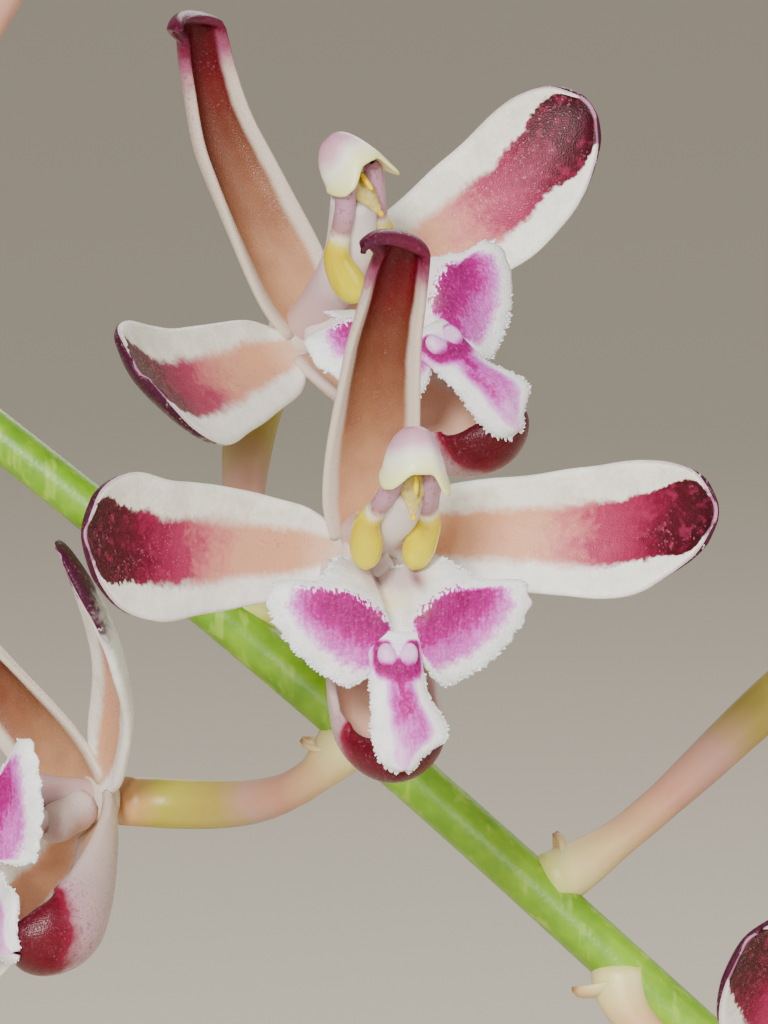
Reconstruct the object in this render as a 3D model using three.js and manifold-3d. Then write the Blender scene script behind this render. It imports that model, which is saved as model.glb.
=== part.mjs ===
// A small orchid, Acriopsis liliifolia, in a plain clay pot: bulbs, leaves, roots, and an arching flower spike.
// Millimetres, +Z up, origin at the middle of the pot's underside. The first bloom faces -Y.
import * as THREE from "three";
import { mergeVertices } from "three/addons/utils/BufferGeometryUtils.js";
import Module from "manifold-3d";

const wasm = await Module();
wasm.setup();

// Driving dimensions
const pot = {
  height: 82,
  topRadius: 43,
  footRadius: 31,
  wall: 4.5,
  floor: 7,
  rimHeight: 14,
  rimProud: 3,
  holeRadius: 4.5,
  holeOffset: 15,
  sides: 30,
};
const mix = { bottom: 7.4, top: 70, gap: 0.4, chips: 92, holeGap: 0.5 };
const bulbs = [
  { x: 18, y: 3, height: 40, radius: 9.6, leaves: [[12, 128, 58], [96, 118, 52], [182, 112, 26]] },
  { x: -4, y: -6, height: 38, radius: 9.2, leaves: [[-138, 108, 74], [-48, 94, 92]] },
  { x: -23, y: -14, height: 31, radius: 8.2, leaves: [[182, 100, 84], [272, 84, 96]] },
  { x: -5, y: 17, height: 35, radius: 8.8, leaves: [[48, 112, 74], [150, 106, 66]] },
  { x: -25, y: 8, height: 29, radius: 8.0, leaves: [] },
];
const bulb = { foot: 73, ribs: 9, ribDepth: 0.05, around: 14 };
const leaf = { thickness: 0.8, halfWidth: 6.3, baseHalf: 1.2, keel: 0.3, along: 8, gap: 0.4, apart: 2.3, lean: 14 };
const rhizome = { radius: 2.1, height: 70.4 };
const root = { radius: 0.95, tipRadius: 0.55, sides: 5 };
const spike = {
  line: [
    [24, -12, 66], [24.6, -13, 90], [24.8, -16, 125], [20.5, -22.5, 165], [10, -30, 199],
    [-4, -34, 225.5], [-15, -35.6, 236.6], [-23.8, -35.9, 244.8], [-29.9, -35.1, 250.2],
    [-36.8, -34.3, 255.8], [-44, -33, 261], [-51, -31.5, 265],
  ],
  footRadius: 1.25,
  tipRadius: 0.38,
  sides: 6,
};
const branches = [
  { from: 0.36, line: [[39, -22, 162], [54, -27, 184], [62, -27, 193]] },
  { from: 0.47, line: [[14, -6, 184], [3, 10, 203], [-8, 20, 211]] },
  { from: 0.6, line: [[26, -30, 216], [40, -26, 232], [50, -22, 238]] },
];
const stalk = { radius: 0.36, ovaryRadius: 0.5, sides: 5, gap: 0.12 };
const bladeThickness = 0.6;

// Tepals of one bloom. A tepal is length long and leans forward from its first angle to its last, by power sooner or
// later along it; it starts from away from the middle; cup is how far its edges rise.
const petal = {
  length: 5.95, first: 10, last: 50, power: 1, from: 0.62, cup: 0.16,
  base: 0.5, widest: 1.28, widestAt: 0.66, tip: 0.3, drop: 0.2, liftLeft: 0.045, liftRight: 0.09,
};
const dorsal = {
  length: 5.7, first: 10, last: 74, power: 2, from: 0.62, cup: 0.4,
  widest: 0.78, widestAt: 0.2, tip: 0.36,
};
const lateral = {
  length: 5.1, first: 8, last: 98, power: 1.7, from: 0.78, cup: 0.45,
  base: 0.36, widest: 0.86, widestAt: 0.6, tip: 0.3,
};
const lip = {
  centre: -1.5, forward: 3.1, recess: 1.9, edgeWave: 0.06,
  lobeTop: -1.75, lobeLength: 2.4, lobeForward: 3.15,
};
const column = { radius: 0.42, swell: 0.1, hood: 0.62, armApart: 0.53, armRadius: 0.2, knob: [0.3, 0.47, 0.3] };
const heart = { radius: 0.95, depth: 0.34 };

const heroAt = [-30, -42, 255];
const lookDown = 8;
const heroTurn = 15.5;
const heroStem = 0.8815;

// Blooms near the hero bloom. Each triple is right, up and back as seen from in front of it: where the bloom sits,
// the way it faces, its top, and the way its stalk leaves the spike at the share stem of the spike's length.
const nearBlooms = [
  { at: [-1.09, 3.93, 12], face: [0.42, 0.46, -0.78], top: [-0.58, 0.8, 0.16], size: 1.08,
    stem: 0.8985, leave: [0, 0.7, 0.7] },
  { at: [-5.05, -5.1, 11], face: [-0.85, 0.05, -0.52], top: [-0.2, 0.66, 0.7], size: 1,
    stem: 0.8868, leave: [-0.5, -0.8, 0.2] },
  { at: [10.6, -1.3, 9.5], face: [0.8, 0.45, -0.4], top: [-0.3, 0.85, 0], size: 1,
    stem: 0.8668, leave: [0.88, 0.42, 0.2] },
  { at: [10.2, -11.2, 4.6], face: [0.3, -0.05, -0.95], top: [0.66, 0.73, 0.16], size: 1,
    stem: 0.8575, leave: [-0.1, -0.95, -0.3] },
  { at: [-0.6, 14.8, 9.5], face: [0.75, -0.1, -0.65], top: [0.2, 0.9, 0.3], size: 1,
    stem: 0.94, leave: [0.3, 0.8, 0.4] },
];
// Blooms on the branches: which branch, how far along, the angle round it and the stalk's length
const branchBlooms = [
  { branch: 0, along: 0.52, round: 20, reach: 9 },
  { branch: 0, along: 0.78, round: 200, reach: 9 },
  { branch: 0, along: 0.97, round: 90, reach: 8 },
  { branch: 1, along: 0.55, round: 160, reach: 9 },
  { branch: 1, along: 0.85, round: 20, reach: 9 },
  { branch: 2, along: 0.45, round: 110, reach: 9 },
  { branch: 2, along: 0.72, round: 300, reach: 9 },
  { branch: 2, along: 0.97, round: 60, reach: 8 },
];
// Buds: which line (-1 is the spike itself), how far along, the angle round it, the stalk's length and the bud's size
const buds = [
  { branch: -1, along: 0.962, round: 150, reach: 5, size: 1.25 },
  { branch: -1, along: 0.985, round: 330, reach: 4, size: 1.0 },
  { branch: 0, along: 0.9, round: 320, reach: 5.5, size: 1.3 },
  { branch: 1, along: 0.99, round: 240, reach: 5, size: 1.2 },
  { branch: 1, along: 0.7, round: 280, reach: 6, size: 1.35 },
  { branch: 2, along: 0.88, round: 200, reach: 5, size: 1.2 },
];

const colours = {
  clay: 0xb5683f,
  bark: 0x6b4a33,
  root: 0xd9d4c0,
  bulb: 0x7f9440,
  leaf: 0x4f7d2c,
  stem: 0x8cb414,
  petal: 0xe8dccb,
  sepal: 0x9a6048,
  lip: 0xc45ab0,
  column: 0xe8dc78,
};

const group = new THREE.Group();
const turn = THREE.MathUtils.degToRad;
const vector = (p) => new THREE.Vector3(...p);

// The same seed gives the same row of numbers from 0 to 1.
function seeded(seed) {
  let state = seed;
  return () => {
    state = (state * 16807) % 2147483647;
    return state / 2147483647;
  };
}

// 0 below low, 1 above high, and a smooth rise between them
function smooth(value, low, high) {
  const share = Math.min(1, Math.max(0, (value - low) / (high - low)));
  return share * share * (3 - 2 * share);
}

// Solids and meshes

function solid(geometry) {
  const bare = geometry.clone();
  bare.deleteAttribute("normal");
  bare.deleteAttribute("uv");
  const merged = mergeVertices(bare, 1e-4);
  return new wasm.Manifold(
    new wasm.Mesh({
      numProp: 3,
      vertProperties: new Float32Array(merged.attributes.position.array),
      triVerts: new Uint32Array(merged.index.array),
    }),
  );
}

// Joins solids and keeps the largest body, with any sealed hollow filled.
function fuse(solids, tolerance = 0.02) {
  const joined = solids.reduce((a, b) => a.add(b)).simplify(tolerance);
  const bodies = joined.decompose().filter((b) => b.volume() > 0);
  return bodies.reduce((a, b) => (b.volume() > a.volume() ? b : a));
}

function addNode(name, shape, colour, roughness) {
  const data = shape.getMesh();
  const geometry = new THREE.BufferGeometry();
  geometry.setAttribute("position", new THREE.BufferAttribute(data.vertProperties, 3));
  geometry.setIndex(new THREE.BufferAttribute(data.triVerts, 1));
  geometry.computeVertexNormals();
  const material = new THREE.MeshStandardMaterial({ color: colour, roughness, metalness: 0 });
  const mesh = new THREE.Mesh(geometry, material);
  mesh.name = name;
  group.add(mesh);
}

// A thin closed body round a middle surface given by t from 0 to 1 along it and w from -1 to 1 across it.
// Its rows crowd towards the tip, where the outline turns most.
const crowding = 1.3;

function blade(middle, along, across, thickness) {
  const step = 0.01;
  const positions = [];
  const index = [];
  const row = across + 1;
  const count = (along + 1) * row;
  const backs = [];
  for (let i = 0; i <= along; i++) {
    for (let j = 0; j <= across; j++) {
      const t = 1 - Math.pow(1 - i / along, crowding);
      const w = (2 * j) / across - 1;
      const ahead = middle(Math.min(t + step, 1), w).sub(middle(Math.max(t - step, 0), w));
      const aside = middle(t, Math.min(w + step, 1)).sub(middle(t, Math.max(w - step, -1)));
      const normal = ahead.cross(aside).normalize().multiplyScalar(thickness / 2);
      positions.push(...middle(t, w).add(normal));
      backs.push(...middle(t, w).sub(normal));
    }
  }
  for (let i = 0; i < along; i++) {
    for (let j = 0; j < across; j++) {
      const a = i * row + j;
      const c = a + row + 1;
      index.push(a, a + row, c, a, c, a + 1);
      index.push(a + count, c + count, a + row + count, a + count, a + 1 + count, c + count);
    }
  }
  const rim = [];
  for (let i = 0; i < along; i++) rim.push(i * row);
  for (let j = 0; j < across; j++) rim.push(along * row + j);
  for (let i = along; i > 0; i--) rim.push(i * row + across);
  for (let j = across; j > 0; j--) rim.push(j);
  rim.forEach((p, k) => {
    const q = rim[(k + 1) % rim.length];
    index.push(q, p, p + count, q, p + count, q + count);
  });
  return closed([...positions, ...backs], index);
}

function closed(positions, index) {
  const geometry = new THREE.BufferGeometry();
  geometry.setAttribute("position", new THREE.BufferAttribute(new Float32Array(positions), 3));
  geometry.setIndex(index);
  return geometry;
}

// A round body bent along a curve, with a radius for each share of its length and closed round ends.
function bentTube(curve, radiusAt, sides, rings) {
  const profile = [new THREE.Vector2(0, 0)];
  for (let i = 0; i <= rings; i++) profile.push(new THREE.Vector2(radiusAt(i / rings), i / rings));
  profile.push(new THREE.Vector2(0, 1));
  const tube = new THREE.LatheGeometry(profile, sides);
  const spots = tube.attributes.position;
  const frames = curve.computeFrenetFrames(200, false);
  for (let i = 0; i < spots.count; i++) {
    const share = spots.getY(i);
    const k = Math.round(share * 200);
    const place = curve.getPointAt(share);
    place.addScaledVector(frames.normals[k], spots.getX(i));
    place.addScaledVector(frames.binormals[k], -spots.getZ(i));
    spots.setXYZ(i, place.x, place.y, place.z);
  }
  return solid(tube);
}

function line(points) {
  return new THREE.CatmullRomCurve3(points, false, "centripetal");
}

function ellipsoid(radii, across, down, place) {
  const ball = new THREE.SphereGeometry(1, across, down);
  ball.scale(...radii);
  ball.translate(...place);
  return solid(ball);
}

// Pot

function makePot() {
  const top = pot.height;
  const lip = top - pot.rimHeight;
  const slope = (pot.topRadius - pot.footRadius) / top;
  const outer = (z) => pot.footRadius + slope * z;
  const points = [
    [0, 0],
    [pot.footRadius - 0.8, 0],
    [pot.footRadius, 0.8],
    [outer(lip), lip],
    [outer(lip) + pot.rimProud, lip + 0.6],
    [pot.topRadius + pot.rimProud - 0.8, top - 1],
    [pot.topRadius + pot.rimProud - 1.8, top],
    [pot.topRadius - pot.wall + 1.5, top],
    [pot.topRadius - pot.wall, top - 1.5],
    [outer(pot.floor) - pot.wall, pot.floor],
    [0, pot.floor],
  ].map(([r, z]) => new THREE.Vector2(r, z));
  let body = solid(new THREE.LatheGeometry(points, pot.sides).rotateX(Math.PI / 2));
  for (let i = 0; i < 3; i++) {
    const drill = new THREE.CylinderGeometry(pot.holeRadius, pot.holeRadius, 3 * pot.floor, 12);
    drill.rotateX(Math.PI / 2);
    const angle = turn(90 + 120 * i);
    drill.translate(pot.holeOffset * Math.cos(angle), pot.holeOffset * Math.sin(angle), pot.floor / 2);
    body = body.subtract(solid(drill));
  }
  addNode("pot", body, colours.clay, 0.85);
}

// The pot's inner radius at a height, less a gap
function insideRadius(z, gap) {
  const slope = (pot.topRadius - pot.footRadius) / pot.height;
  return pot.footRadius + slope * z - pot.wall - gap;
}

// Bulbs: furrowed and egg-shaped, drawn in to a neck. grow makes the hole that a bulb stands in.

function bulbSolid(spec, grow) {
  const shares = [0, 0.08, 0.2, 0.36, 0.52, 0.68, 0.82, 0.93, 1];
  const widths = [0.5, 0.74, 0.93, 1, 0.94, 0.76, 0.52, 0.34, 0.27];
  const points = shares.map((s, i) => new THREE.Vector2(widths[i] * spec.radius + grow, s * spec.height));
  points.unshift(new THREE.Vector2(0, -grow));
  points[1].y = -grow;
  points.push(new THREE.Vector2(0, spec.height));
  const body = new THREE.LatheGeometry(points, grow ? 12 : bulb.around).rotateX(Math.PI / 2);
  const spots = body.attributes.position;
  for (let i = 0; i < spots.count; i++) {
    const angle = Math.atan2(spots.getY(i), spots.getX(i));
    const depth = 1 + bulb.ribDepth * Math.cos(bulb.ribs * angle) * (grow ? 0 : 1);
    spots.setX(i, spots.getX(i) * depth);
    spots.setY(i, spots.getY(i) * depth);
  }
  body.translate(spec.x, spec.y, bulb.foot);
  return solid(body);
}

// Leaves: keeled straps that rise from a bulb's tip and arch outwards

function leafMiddle(spec, [heading, length, arch]) {
  const angle = turn(heading);
  const out = new THREE.Vector3(Math.cos(angle), Math.sin(angle), 0);
  const side = new THREE.Vector3(-out.y, out.x, 0);
  const base = new THREE.Vector3(spec.x, spec.y, bulb.foot + spec.height + leaf.gap);
  base.addScaledVector(out, leaf.apart);
  const steps = 60;
  const spine = [base.clone()];
  const leans = [turn(leaf.lean)];
  for (let i = 0; i < steps; i++) {
    const lean = turn(leaf.lean + arch * Math.pow((i + 0.5) / steps, 1.35));
    const next = spine[i].clone();
    next.addScaledVector(out, (Math.sin(lean) * length) / steps);
    next.z += (Math.cos(lean) * length) / steps;
    spine.push(next);
    leans.push(lean);
  }
  return (t, w) => {
    const k = t * steps;
    const i = Math.min(Math.floor(k), steps - 1);
    const place = spine[i].clone().lerp(spine[i + 1], k - i);
    const lean = leans[Math.min(i + 1, steps)];
    const swell = Math.sin(Math.PI * Math.pow(t, 0.85));
    const half = leaf.baseHalf * (1 - 0.6 * t) + (leaf.halfWidth - leaf.baseHalf) * Math.pow(swell, 1.2);
    const up = new THREE.Vector3(-Math.cos(lean) * out.x, -Math.cos(lean) * out.y, Math.sin(lean));
    place.addScaledVector(side, w * half);
    place.addScaledVector(up, Math.abs(w) * half * leaf.keel);
    return place;
  };
}

function makeBulbsAndLeaves() {
  let number = 1;
  bulbs.forEach((spec, i) => {
    addNode(`pseudobulb_${i + 1}`, bulbSolid(spec, 0), colours.bulb, 0.45);
    spec.leaves.forEach((one) => {
      const middle = leafMiddle(spec, one);
      addNode(`leaf_${number}`, solid(blade(middle, leaf.along, 2, leaf.thickness)), colours.leaf, 0.4);
      number += 1;
    });
  });
}

// Rhizome and roots. grow makes the channels that they lie in.

// Which bulb each root starts under, its heading and how far it waves aside
const rootSpecs = [
  [0, -22, 1.2], [0, 62, -2], [1, -86, 2.5], [1, -52, -2.5], [2, -62, 1.5],
  [3, 68, 1.5], [3, 26, 2], [4, 100, 1.2], [4, 250, -1],
];
const rootReach = 33;
const rootRise = 3.4;

function rhizomeSolid(grow) {
  const spots = bulbs.map((b) => new THREE.Vector3(b.x, b.y, rhizome.height));
  const runs = [
    [spots[0], spots[1], spots[2]],
    [spots[1], spots[3], spots[4]],
  ];
  const body = runs.map((run) => {
    const path = line(run);
    return bentTube(path, () => rhizome.radius + grow, 7, 7);
  });
  for (const [from, heading, wave] of rootSpecs) {
    const start = spots[from];
    const angle = turn(heading);
    const out = new THREE.Vector3(Math.cos(angle), Math.sin(angle), 0);
    const side = new THREE.Vector3(-out.y, out.x, 0);
    const along = start.x * out.x + start.y * out.y;
    const length = Math.sqrt(along * along + rootReach ** 2 - start.x ** 2 - start.y ** 2) - along;
    const points = [];
    for (let i = 0; i <= 6; i++) {
      const away = (length * i) / 6;
      const place = start.clone().addScaledVector(out, away);
      place.addScaledVector(side, wave * Math.sin(5 * (away / length)));
      place.z += rootRise * smooth(away, 8.5, 14) - 1.8 * smooth(away, length - 5, length);
      points.push(place);
    }
    const radius = (s) => grow + root.radius + (root.tipRadius - root.radius) * s;
    body.push(bentTube(line(points), radius, grow ? 4 : root.sides, 6));
  }
  return fuse(body, 0.06);
}

// Potting mix: a plug of the pot's inner shape with bark chips lying in its top

function makeMix(spikeFoot) {
  const points = [
    [0, mix.bottom],
    [insideRadius(mix.bottom, mix.gap), mix.bottom],
    [insideRadius(mix.top, mix.gap), mix.top],
    [0, mix.top],
  ].map(([r, z]) => new THREE.Vector2(r, z));
  let body = solid(new THREE.LatheGeometry(points, pot.sides).rotateX(Math.PI / 2));
  const random = seeded(61);
  const chips = [];
  for (let i = 0; i < mix.chips; i++) {
    const share = Math.sqrt((i + 0.5) / mix.chips);
    const angle = turn(137.5 * i);
    const size = [8 + 6 * random(), 6 + 4 * random(), 2.8 + 1.8 * random()];
    const chip = new THREE.BoxGeometry(...size);
    chip.rotateX(turn(50 * (random() - 0.5)));
    chip.rotateY(turn(50 * (random() - 0.5)));
    chip.rotateZ(turn(360 * random()));
    const reach = share * (insideRadius(mix.top, mix.gap) - 7.5);
    chip.translate(reach * Math.cos(angle), reach * Math.sin(angle), mix.top + 0.6 + 1.2 * random());
    chips.push(solid(chip));
  }
  const holes = bulbs.map((spec) => bulbSolid(spec, mix.holeGap));
  holes.push(rhizomeSolid(mix.holeGap), spikeFoot);
  const clear = chips.filter((chip) => holes.every((hole) => chip.intersect(hole).isEmpty()));
  body = clear.reduce((a, b) => a.add(b), body);
  body = holes.reduce((a, b) => a.subtract(b), body);
  addNode("potting_mix", fuse([body], 0.3), colours.bark, 0.95);
}

// Bloom pieces, in the bloom's own frame: x to the right, y up, z forward out of the bloom

// A path that starts at one angle from the bloom's plane and ends at another
function bow({ length, first, last, power }) {
  const steps = 48;
  const out = [0];
  const forward = [0];
  for (let i = 0; i < steps; i++) {
    const angle = turn(first + (last - first) * Math.pow((i + 0.5) / steps, power));
    out.push(out[i] + (Math.cos(angle) * length) / steps);
    forward.push(forward[i] + (Math.sin(angle) * length) / steps);
  }
  return (t) => {
    const k = Math.min(t * steps, steps - 1e-6);
    const i = Math.floor(k);
    const mixed = (list) => list[i] + (list[i + 1] - list[i]) * (k - i);
    return { out: mixed(out), forward: mixed(forward) };
  };
}

// Half the width of a tepal: from the base to its widest place, then a round end
function halfWidth(t, { base, widest, widestAt, tip }) {
  if (t < widestAt) return base + (widest - base) * Math.sin((Math.PI / 2) * (t / widestAt));
  const rest = (t - widestAt) / (1 - widestAt);
  return tip + (widest - tip) * Math.sqrt(1 - rest * rest);
}

const petalBow = bow(petal);
const dorsalBow = bow(dorsal);
const lateralBow = bow(lateral);

function petalMiddle(side) {
  const lift = side < 0 ? petal.liftLeft : petal.liftRight;
  return (t, w) => {
    const path = petalBow(t);
    const half = halfWidth(t, petal);
    const x = side * (petal.from + path.out);
    const y = lift * path.out - petal.drop + w * half;
    return new THREE.Vector3(x, y, path.forward + petal.cup * w * w * half);
  };
}

function dorsalMiddle(t, w) {
  const path = dorsalBow(t);
  const { widest, widestAt, tip } = dorsal;
  const past = Math.max(0, t - widestAt) / (1 - widestAt);
  const half = widest - 0.8 * Math.max(0, widestAt - t) - (widest - tip) * Math.pow(past, 1.2);
  return new THREE.Vector3(w * half, dorsal.from + path.out, path.forward + dorsal.cup * w * w * half);
}

function lateralMiddle(t, w) {
  const path = lateralBow(t);
  const half = halfWidth(t, lateral);
  return new THREE.Vector3(w * half, -lateral.from - path.out, path.forward + lateral.cup * w * w * half);
}

// The lip's two side lobes as one plate: its outline is a reach for each angle about a point below the throat.
const lipAngles = [-90, -58, -50, -26, -3, 9, 15, 25, 38, 54, 64, 90];
const lipReaches = [0.7, 0.85, 1.4, 1.72, 2.2, 2.44, 2.42, 1.72, 1.58, 1.48, 1.2, 0.75];

function lipReach(angle) {
  const i = Math.max(1, lipAngles.findIndex((a) => angle <= a));
  const share = (angle - lipAngles[i - 1]) / (lipAngles[i] - lipAngles[i - 1]);
  return lipReaches[i - 1] + (lipReaches[i] - lipReaches[i - 1]) * share;
}

function lipForward(x, y) {
  const above = Math.max(0, y + 1);
  const wave = lip.edgeWave * Math.sin(3.2 * Math.abs(x) - 2 * y);
  return lip.forward - lip.recess * Math.pow(above, 1.3) - 0.05 * x * x + wave;
}

function lipPlate(angles, rings) {
  const rays = [...angles.map((a) => [a, 1]), ...angles.slice(1, -1).reverse().map((a) => [a, -1])];
  const rows = [];
  for (const away of [1, -1]) {
    const shift = (away * bladeThickness) / 2;
    rows.push([0, lip.centre, lipForward(0, lip.centre) + shift]);
    for (let ring = 1; ring <= rings; ring++) {
      for (const [angle, side] of rays) {
        const reach = (lipReach(angle) * ring) / rings;
        const x = side * reach * Math.cos(turn(angle));
        const y = lip.centre + reach * Math.sin(turn(angle));
        rows.push([x, y, lipForward(x, y) + shift]);
      }
    }
  }
  const count = rays.length * rings + 1;
  const index = [];
  const spot = (ring, k) => 1 + (ring - 1) * rays.length + (k % rays.length);
  for (let k = 0; k < rays.length; k++) {
    index.push(0, spot(1, k), spot(1, k + 1));
    index.push(count, spot(1, k + 1) + count, spot(1, k) + count);
    for (let ring = 1; ring < rings; ring++) {
      const [a, b] = [spot(ring, k), spot(ring, k + 1)];
      const [c, d] = [spot(ring + 1, k), spot(ring + 1, k + 1)];
      index.push(a, c, d, a, d, b);
      index.push(a + count, d + count, c + count, a + count, b + count, d + count);
    }
    const [p, q] = [spot(rings, k), spot(rings, k + 1)];
    index.push(q, p, p + count, q, p + count, q + count);
  }
  return closed(rows.flat(), index);
}

function midLobeMiddle(t, w) {
  const half = t < 0.3 ? 0.5 - 0.5 * t : 0.35 + 0.36 * Math.sin(Math.PI * Math.min(1, (t - 0.3) / 0.78));
  const y = lip.lobeTop - lip.lobeLength * t;
  return new THREE.Vector3(w * half, y, lip.lobeForward + 0.42 * Math.sin(2.2 * t) - 0.12 * w * w);
}

function clawMiddle(t, w) {
  return new THREE.Vector3(0.55 * w, -0.75 - 0.35 * t + 0.25 * w * w, 1.3 + 1.7 * t);
}

function lipSolids(fine) {
  const angles = fine ? lipAngles : [-90, -54, -26, 3, 15, 38, 90];
  return [
    solid(lipPlate(angles, fine ? 2 : 1)),
    solid(blade(midLobeMiddle, fine ? 6 : 3, fine ? 4 : 2, bladeThickness)),
    solid(blade(clawMiddle, fine ? 3 : 1, fine ? 4 : 2, bladeThickness)),
  ];
}

// The column: a tube from the bloom's heart to its hood, two hanging arms with knobs, and the beak between them
function columnSolids(fine) {
  const foot = fine ? -0.12 : 0.48;
  const spine = line([[0, 0.02, foot], [0, 0.05, 1.2], [0, 0.28, 2.6], [0, 1.0, 4.1]].map(vector));
  const stemRadius = (s) => column.radius + column.swell * Math.sin(2.6 * s);
  const hood = [column.hood, column.hood, column.hood];
  const parts = [
    bentTube(spine, stemRadius, fine ? 8 : 5, fine ? 6 : 3),
    ellipsoid(hood, fine ? 10 : 5, fine ? 7 : 3, [0, 1.25, 4.3]),
  ];
  for (const side of [-1, 1]) {
    const x = side * column.armApart;
    const arm = line([[0.7 * x, 0.95, 4.1], [x, 0.3, 3.35], [x, -0.1, 2.9]].map(vector));
    parts.push(bentTube(arm, () => column.armRadius, fine ? 6 : 3, fine ? 4 : 2));
    parts.push(ellipsoid(column.knob, fine ? 8 : 4, fine ? 6 : 3, [x, -0.14, 2.86]));
  }
  return parts;
}

function heartSolid() {
  return ellipsoid([heart.radius, heart.radius, heart.depth], 6, 3, [0, 0, 0]);
}

// Placing: a bloom's frame comes from its heart, the way it faces and its top.

function frameAt(middle, face, top) {
  const forward = face.clone().normalize();
  const right = top.clone().cross(forward).normalize();
  const up = forward.clone().cross(right);
  return new THREE.Matrix4().makeBasis(right, up, forward).setPosition(middle);
}

// Right, up and back of the hero bloom, as seen from a little above the level
function seen([right, up, back]) {
  const tilt = turn(lookDown);
  return new THREE.Vector3(
    right,
    up * Math.sin(tilt) + back * Math.cos(tilt),
    up * Math.cos(tilt) - back * Math.sin(tilt),
  );
}

const spikeCurve = line(spike.line.map(vector));
const branchCurves = branches.map((b) => line([spikeCurve.getPointAt(b.from), ...b.line.map(vector)]));
const hero = vector(heroAt);

function heroFrame() {
  const angle = turn(heroTurn);
  return frameAt(hero, seen([Math.sin(angle), 0, -Math.cos(angle)]), seen([0, 1, 0]));
}

// A direction round a line: 0 is as near up as the line allows, and it leans towards the line's tip.
function roundLine(curve, along, degrees, lean) {
  const ahead = curve.getTangentAt(along);
  const up = new THREE.Vector3(0, 0, 1).addScaledVector(ahead, -ahead.z).normalize();
  const side = ahead.clone().cross(up);
  const out = up.multiplyScalar(Math.cos(turn(degrees))).addScaledVector(side, Math.sin(turn(degrees)));
  return out.addScaledVector(ahead, lean).normalize();
}

function bloomPlaces() {
  const places = [{ frame: heroFrame(), curve: spikeCurve, along: heroStem, leave: seen([0.1, 0.3, 0.9]) }];
  for (const spec of nearBlooms) {
    const middle = hero.clone().add(seen(spec.at));
    const frame = frameAt(middle, seen(spec.face), seen(spec.top));
    frame.scale(new THREE.Vector3(spec.size, spec.size, spec.size));
    places.push({ frame, curve: spikeCurve, along: spec.stem, leave: seen(spec.leave) });
  }
  for (const spec of branchBlooms) {
    const curve = branchCurves[spec.branch];
    const out = roundLine(curve, spec.along, spec.round, 0.7);
    const middle = curve.getPointAt(spec.along).addScaledVector(out, spec.reach);
    const face = out.clone().add(new THREE.Vector3(0, -0.35, 0.1));
    places.push({ frame: frameAt(middle, face, new THREE.Vector3(0, 0, 1)), curve, along: spec.along, leave: out });
  }
  return places;
}

// The spike: stem, branches, each bloom's stalk and ovary, buds and bracts, all grown as one

function stalkSolid(place) {
  const start = place.curve.getPointAt(place.along);
  const middle = new THREE.Vector3().setFromMatrixPosition(place.frame);
  const face = new THREE.Vector3().setFromMatrixColumn(place.frame, 2);
  const end = middle.clone().addScaledVector(face, -heart.depth - stalk.gap);
  const away = end.distanceTo(start);
  const leave = start.clone().addScaledVector(place.leave.clone().normalize(), 0.35 * away);
  const arrive = end.clone().addScaledVector(face, -0.42 * away);
  const path = new THREE.CubicBezierCurve3(start, leave, arrive, end);
  const radius = (s) => {
    const foot = 0.18 * Math.max(0, 1 - s / 0.2);
    return stalk.radius + foot + (stalk.ovaryRadius - stalk.radius) * Math.sin(Math.PI * Math.max(0, s - 0.35));
  };
  return bentTube(path, radius, stalk.sides, 6);
}

function budSolid(spec) {
  const curve = spec.branch < 0 ? spikeCurve : branchCurves[spec.branch];
  const start = curve.getPointAt(spec.along);
  const out = roundLine(curve, spec.along, spec.round, 0.9);
  const end = start.clone().addScaledVector(out, spec.reach + 2.6 * spec.size);
  const middle = start.clone().lerp(end, 0.5);
  middle.z -= 0.4;
  const neck = spec.reach / (spec.reach + 2.6 * spec.size);
  const radius = (s) =>
    s < neck ? stalk.radius : 0.3 + (spec.size - 0.3) * Math.sin((Math.PI * (s - neck)) / (1 - neck));
  return bentTube(line([start, middle, end]), radius, stalk.sides, 6);
}

function bractSolid(curve, along, round, length) {
  const start = curve.getPointAt(along);
  const out = roundLine(curve, along, round, 1.1);
  const ahead = curve.getTangentAt(along);
  const side = ahead.clone().cross(out).normalize();
  const middle = (t, w) => {
    const place = start.clone().addScaledVector(out, t * length);
    return place.addScaledVector(side, w * (0.75 * (1 - t) + 0.15)).addScaledVector(ahead, 0.2 * w * w);
  };
  return solid(blade(middle, 1, 2, bladeThickness));
}

function makeSpike(places) {
  const taper = (s) => spike.footRadius + (spike.tipRadius - spike.footRadius) * Math.pow(s, 0.8);
  const parts = [bentTube(spikeCurve, taper, spike.sides, 20)];
  branchCurves.forEach((curve, i) => {
    parts.push(bentTube(curve, (s) => 0.62 - 0.26 * s, 5, 5));
    parts.push(bractSolid(spikeCurve, branches[i].from, 180, 6));
  });
  for (const place of places) parts.push(stalkSolid(place));
  for (const spec of buds) parts.push(budSolid(spec));
  addNode("flower_spike", fuse(parts, 0.1), colours.stem, 0.5);
}

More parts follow.
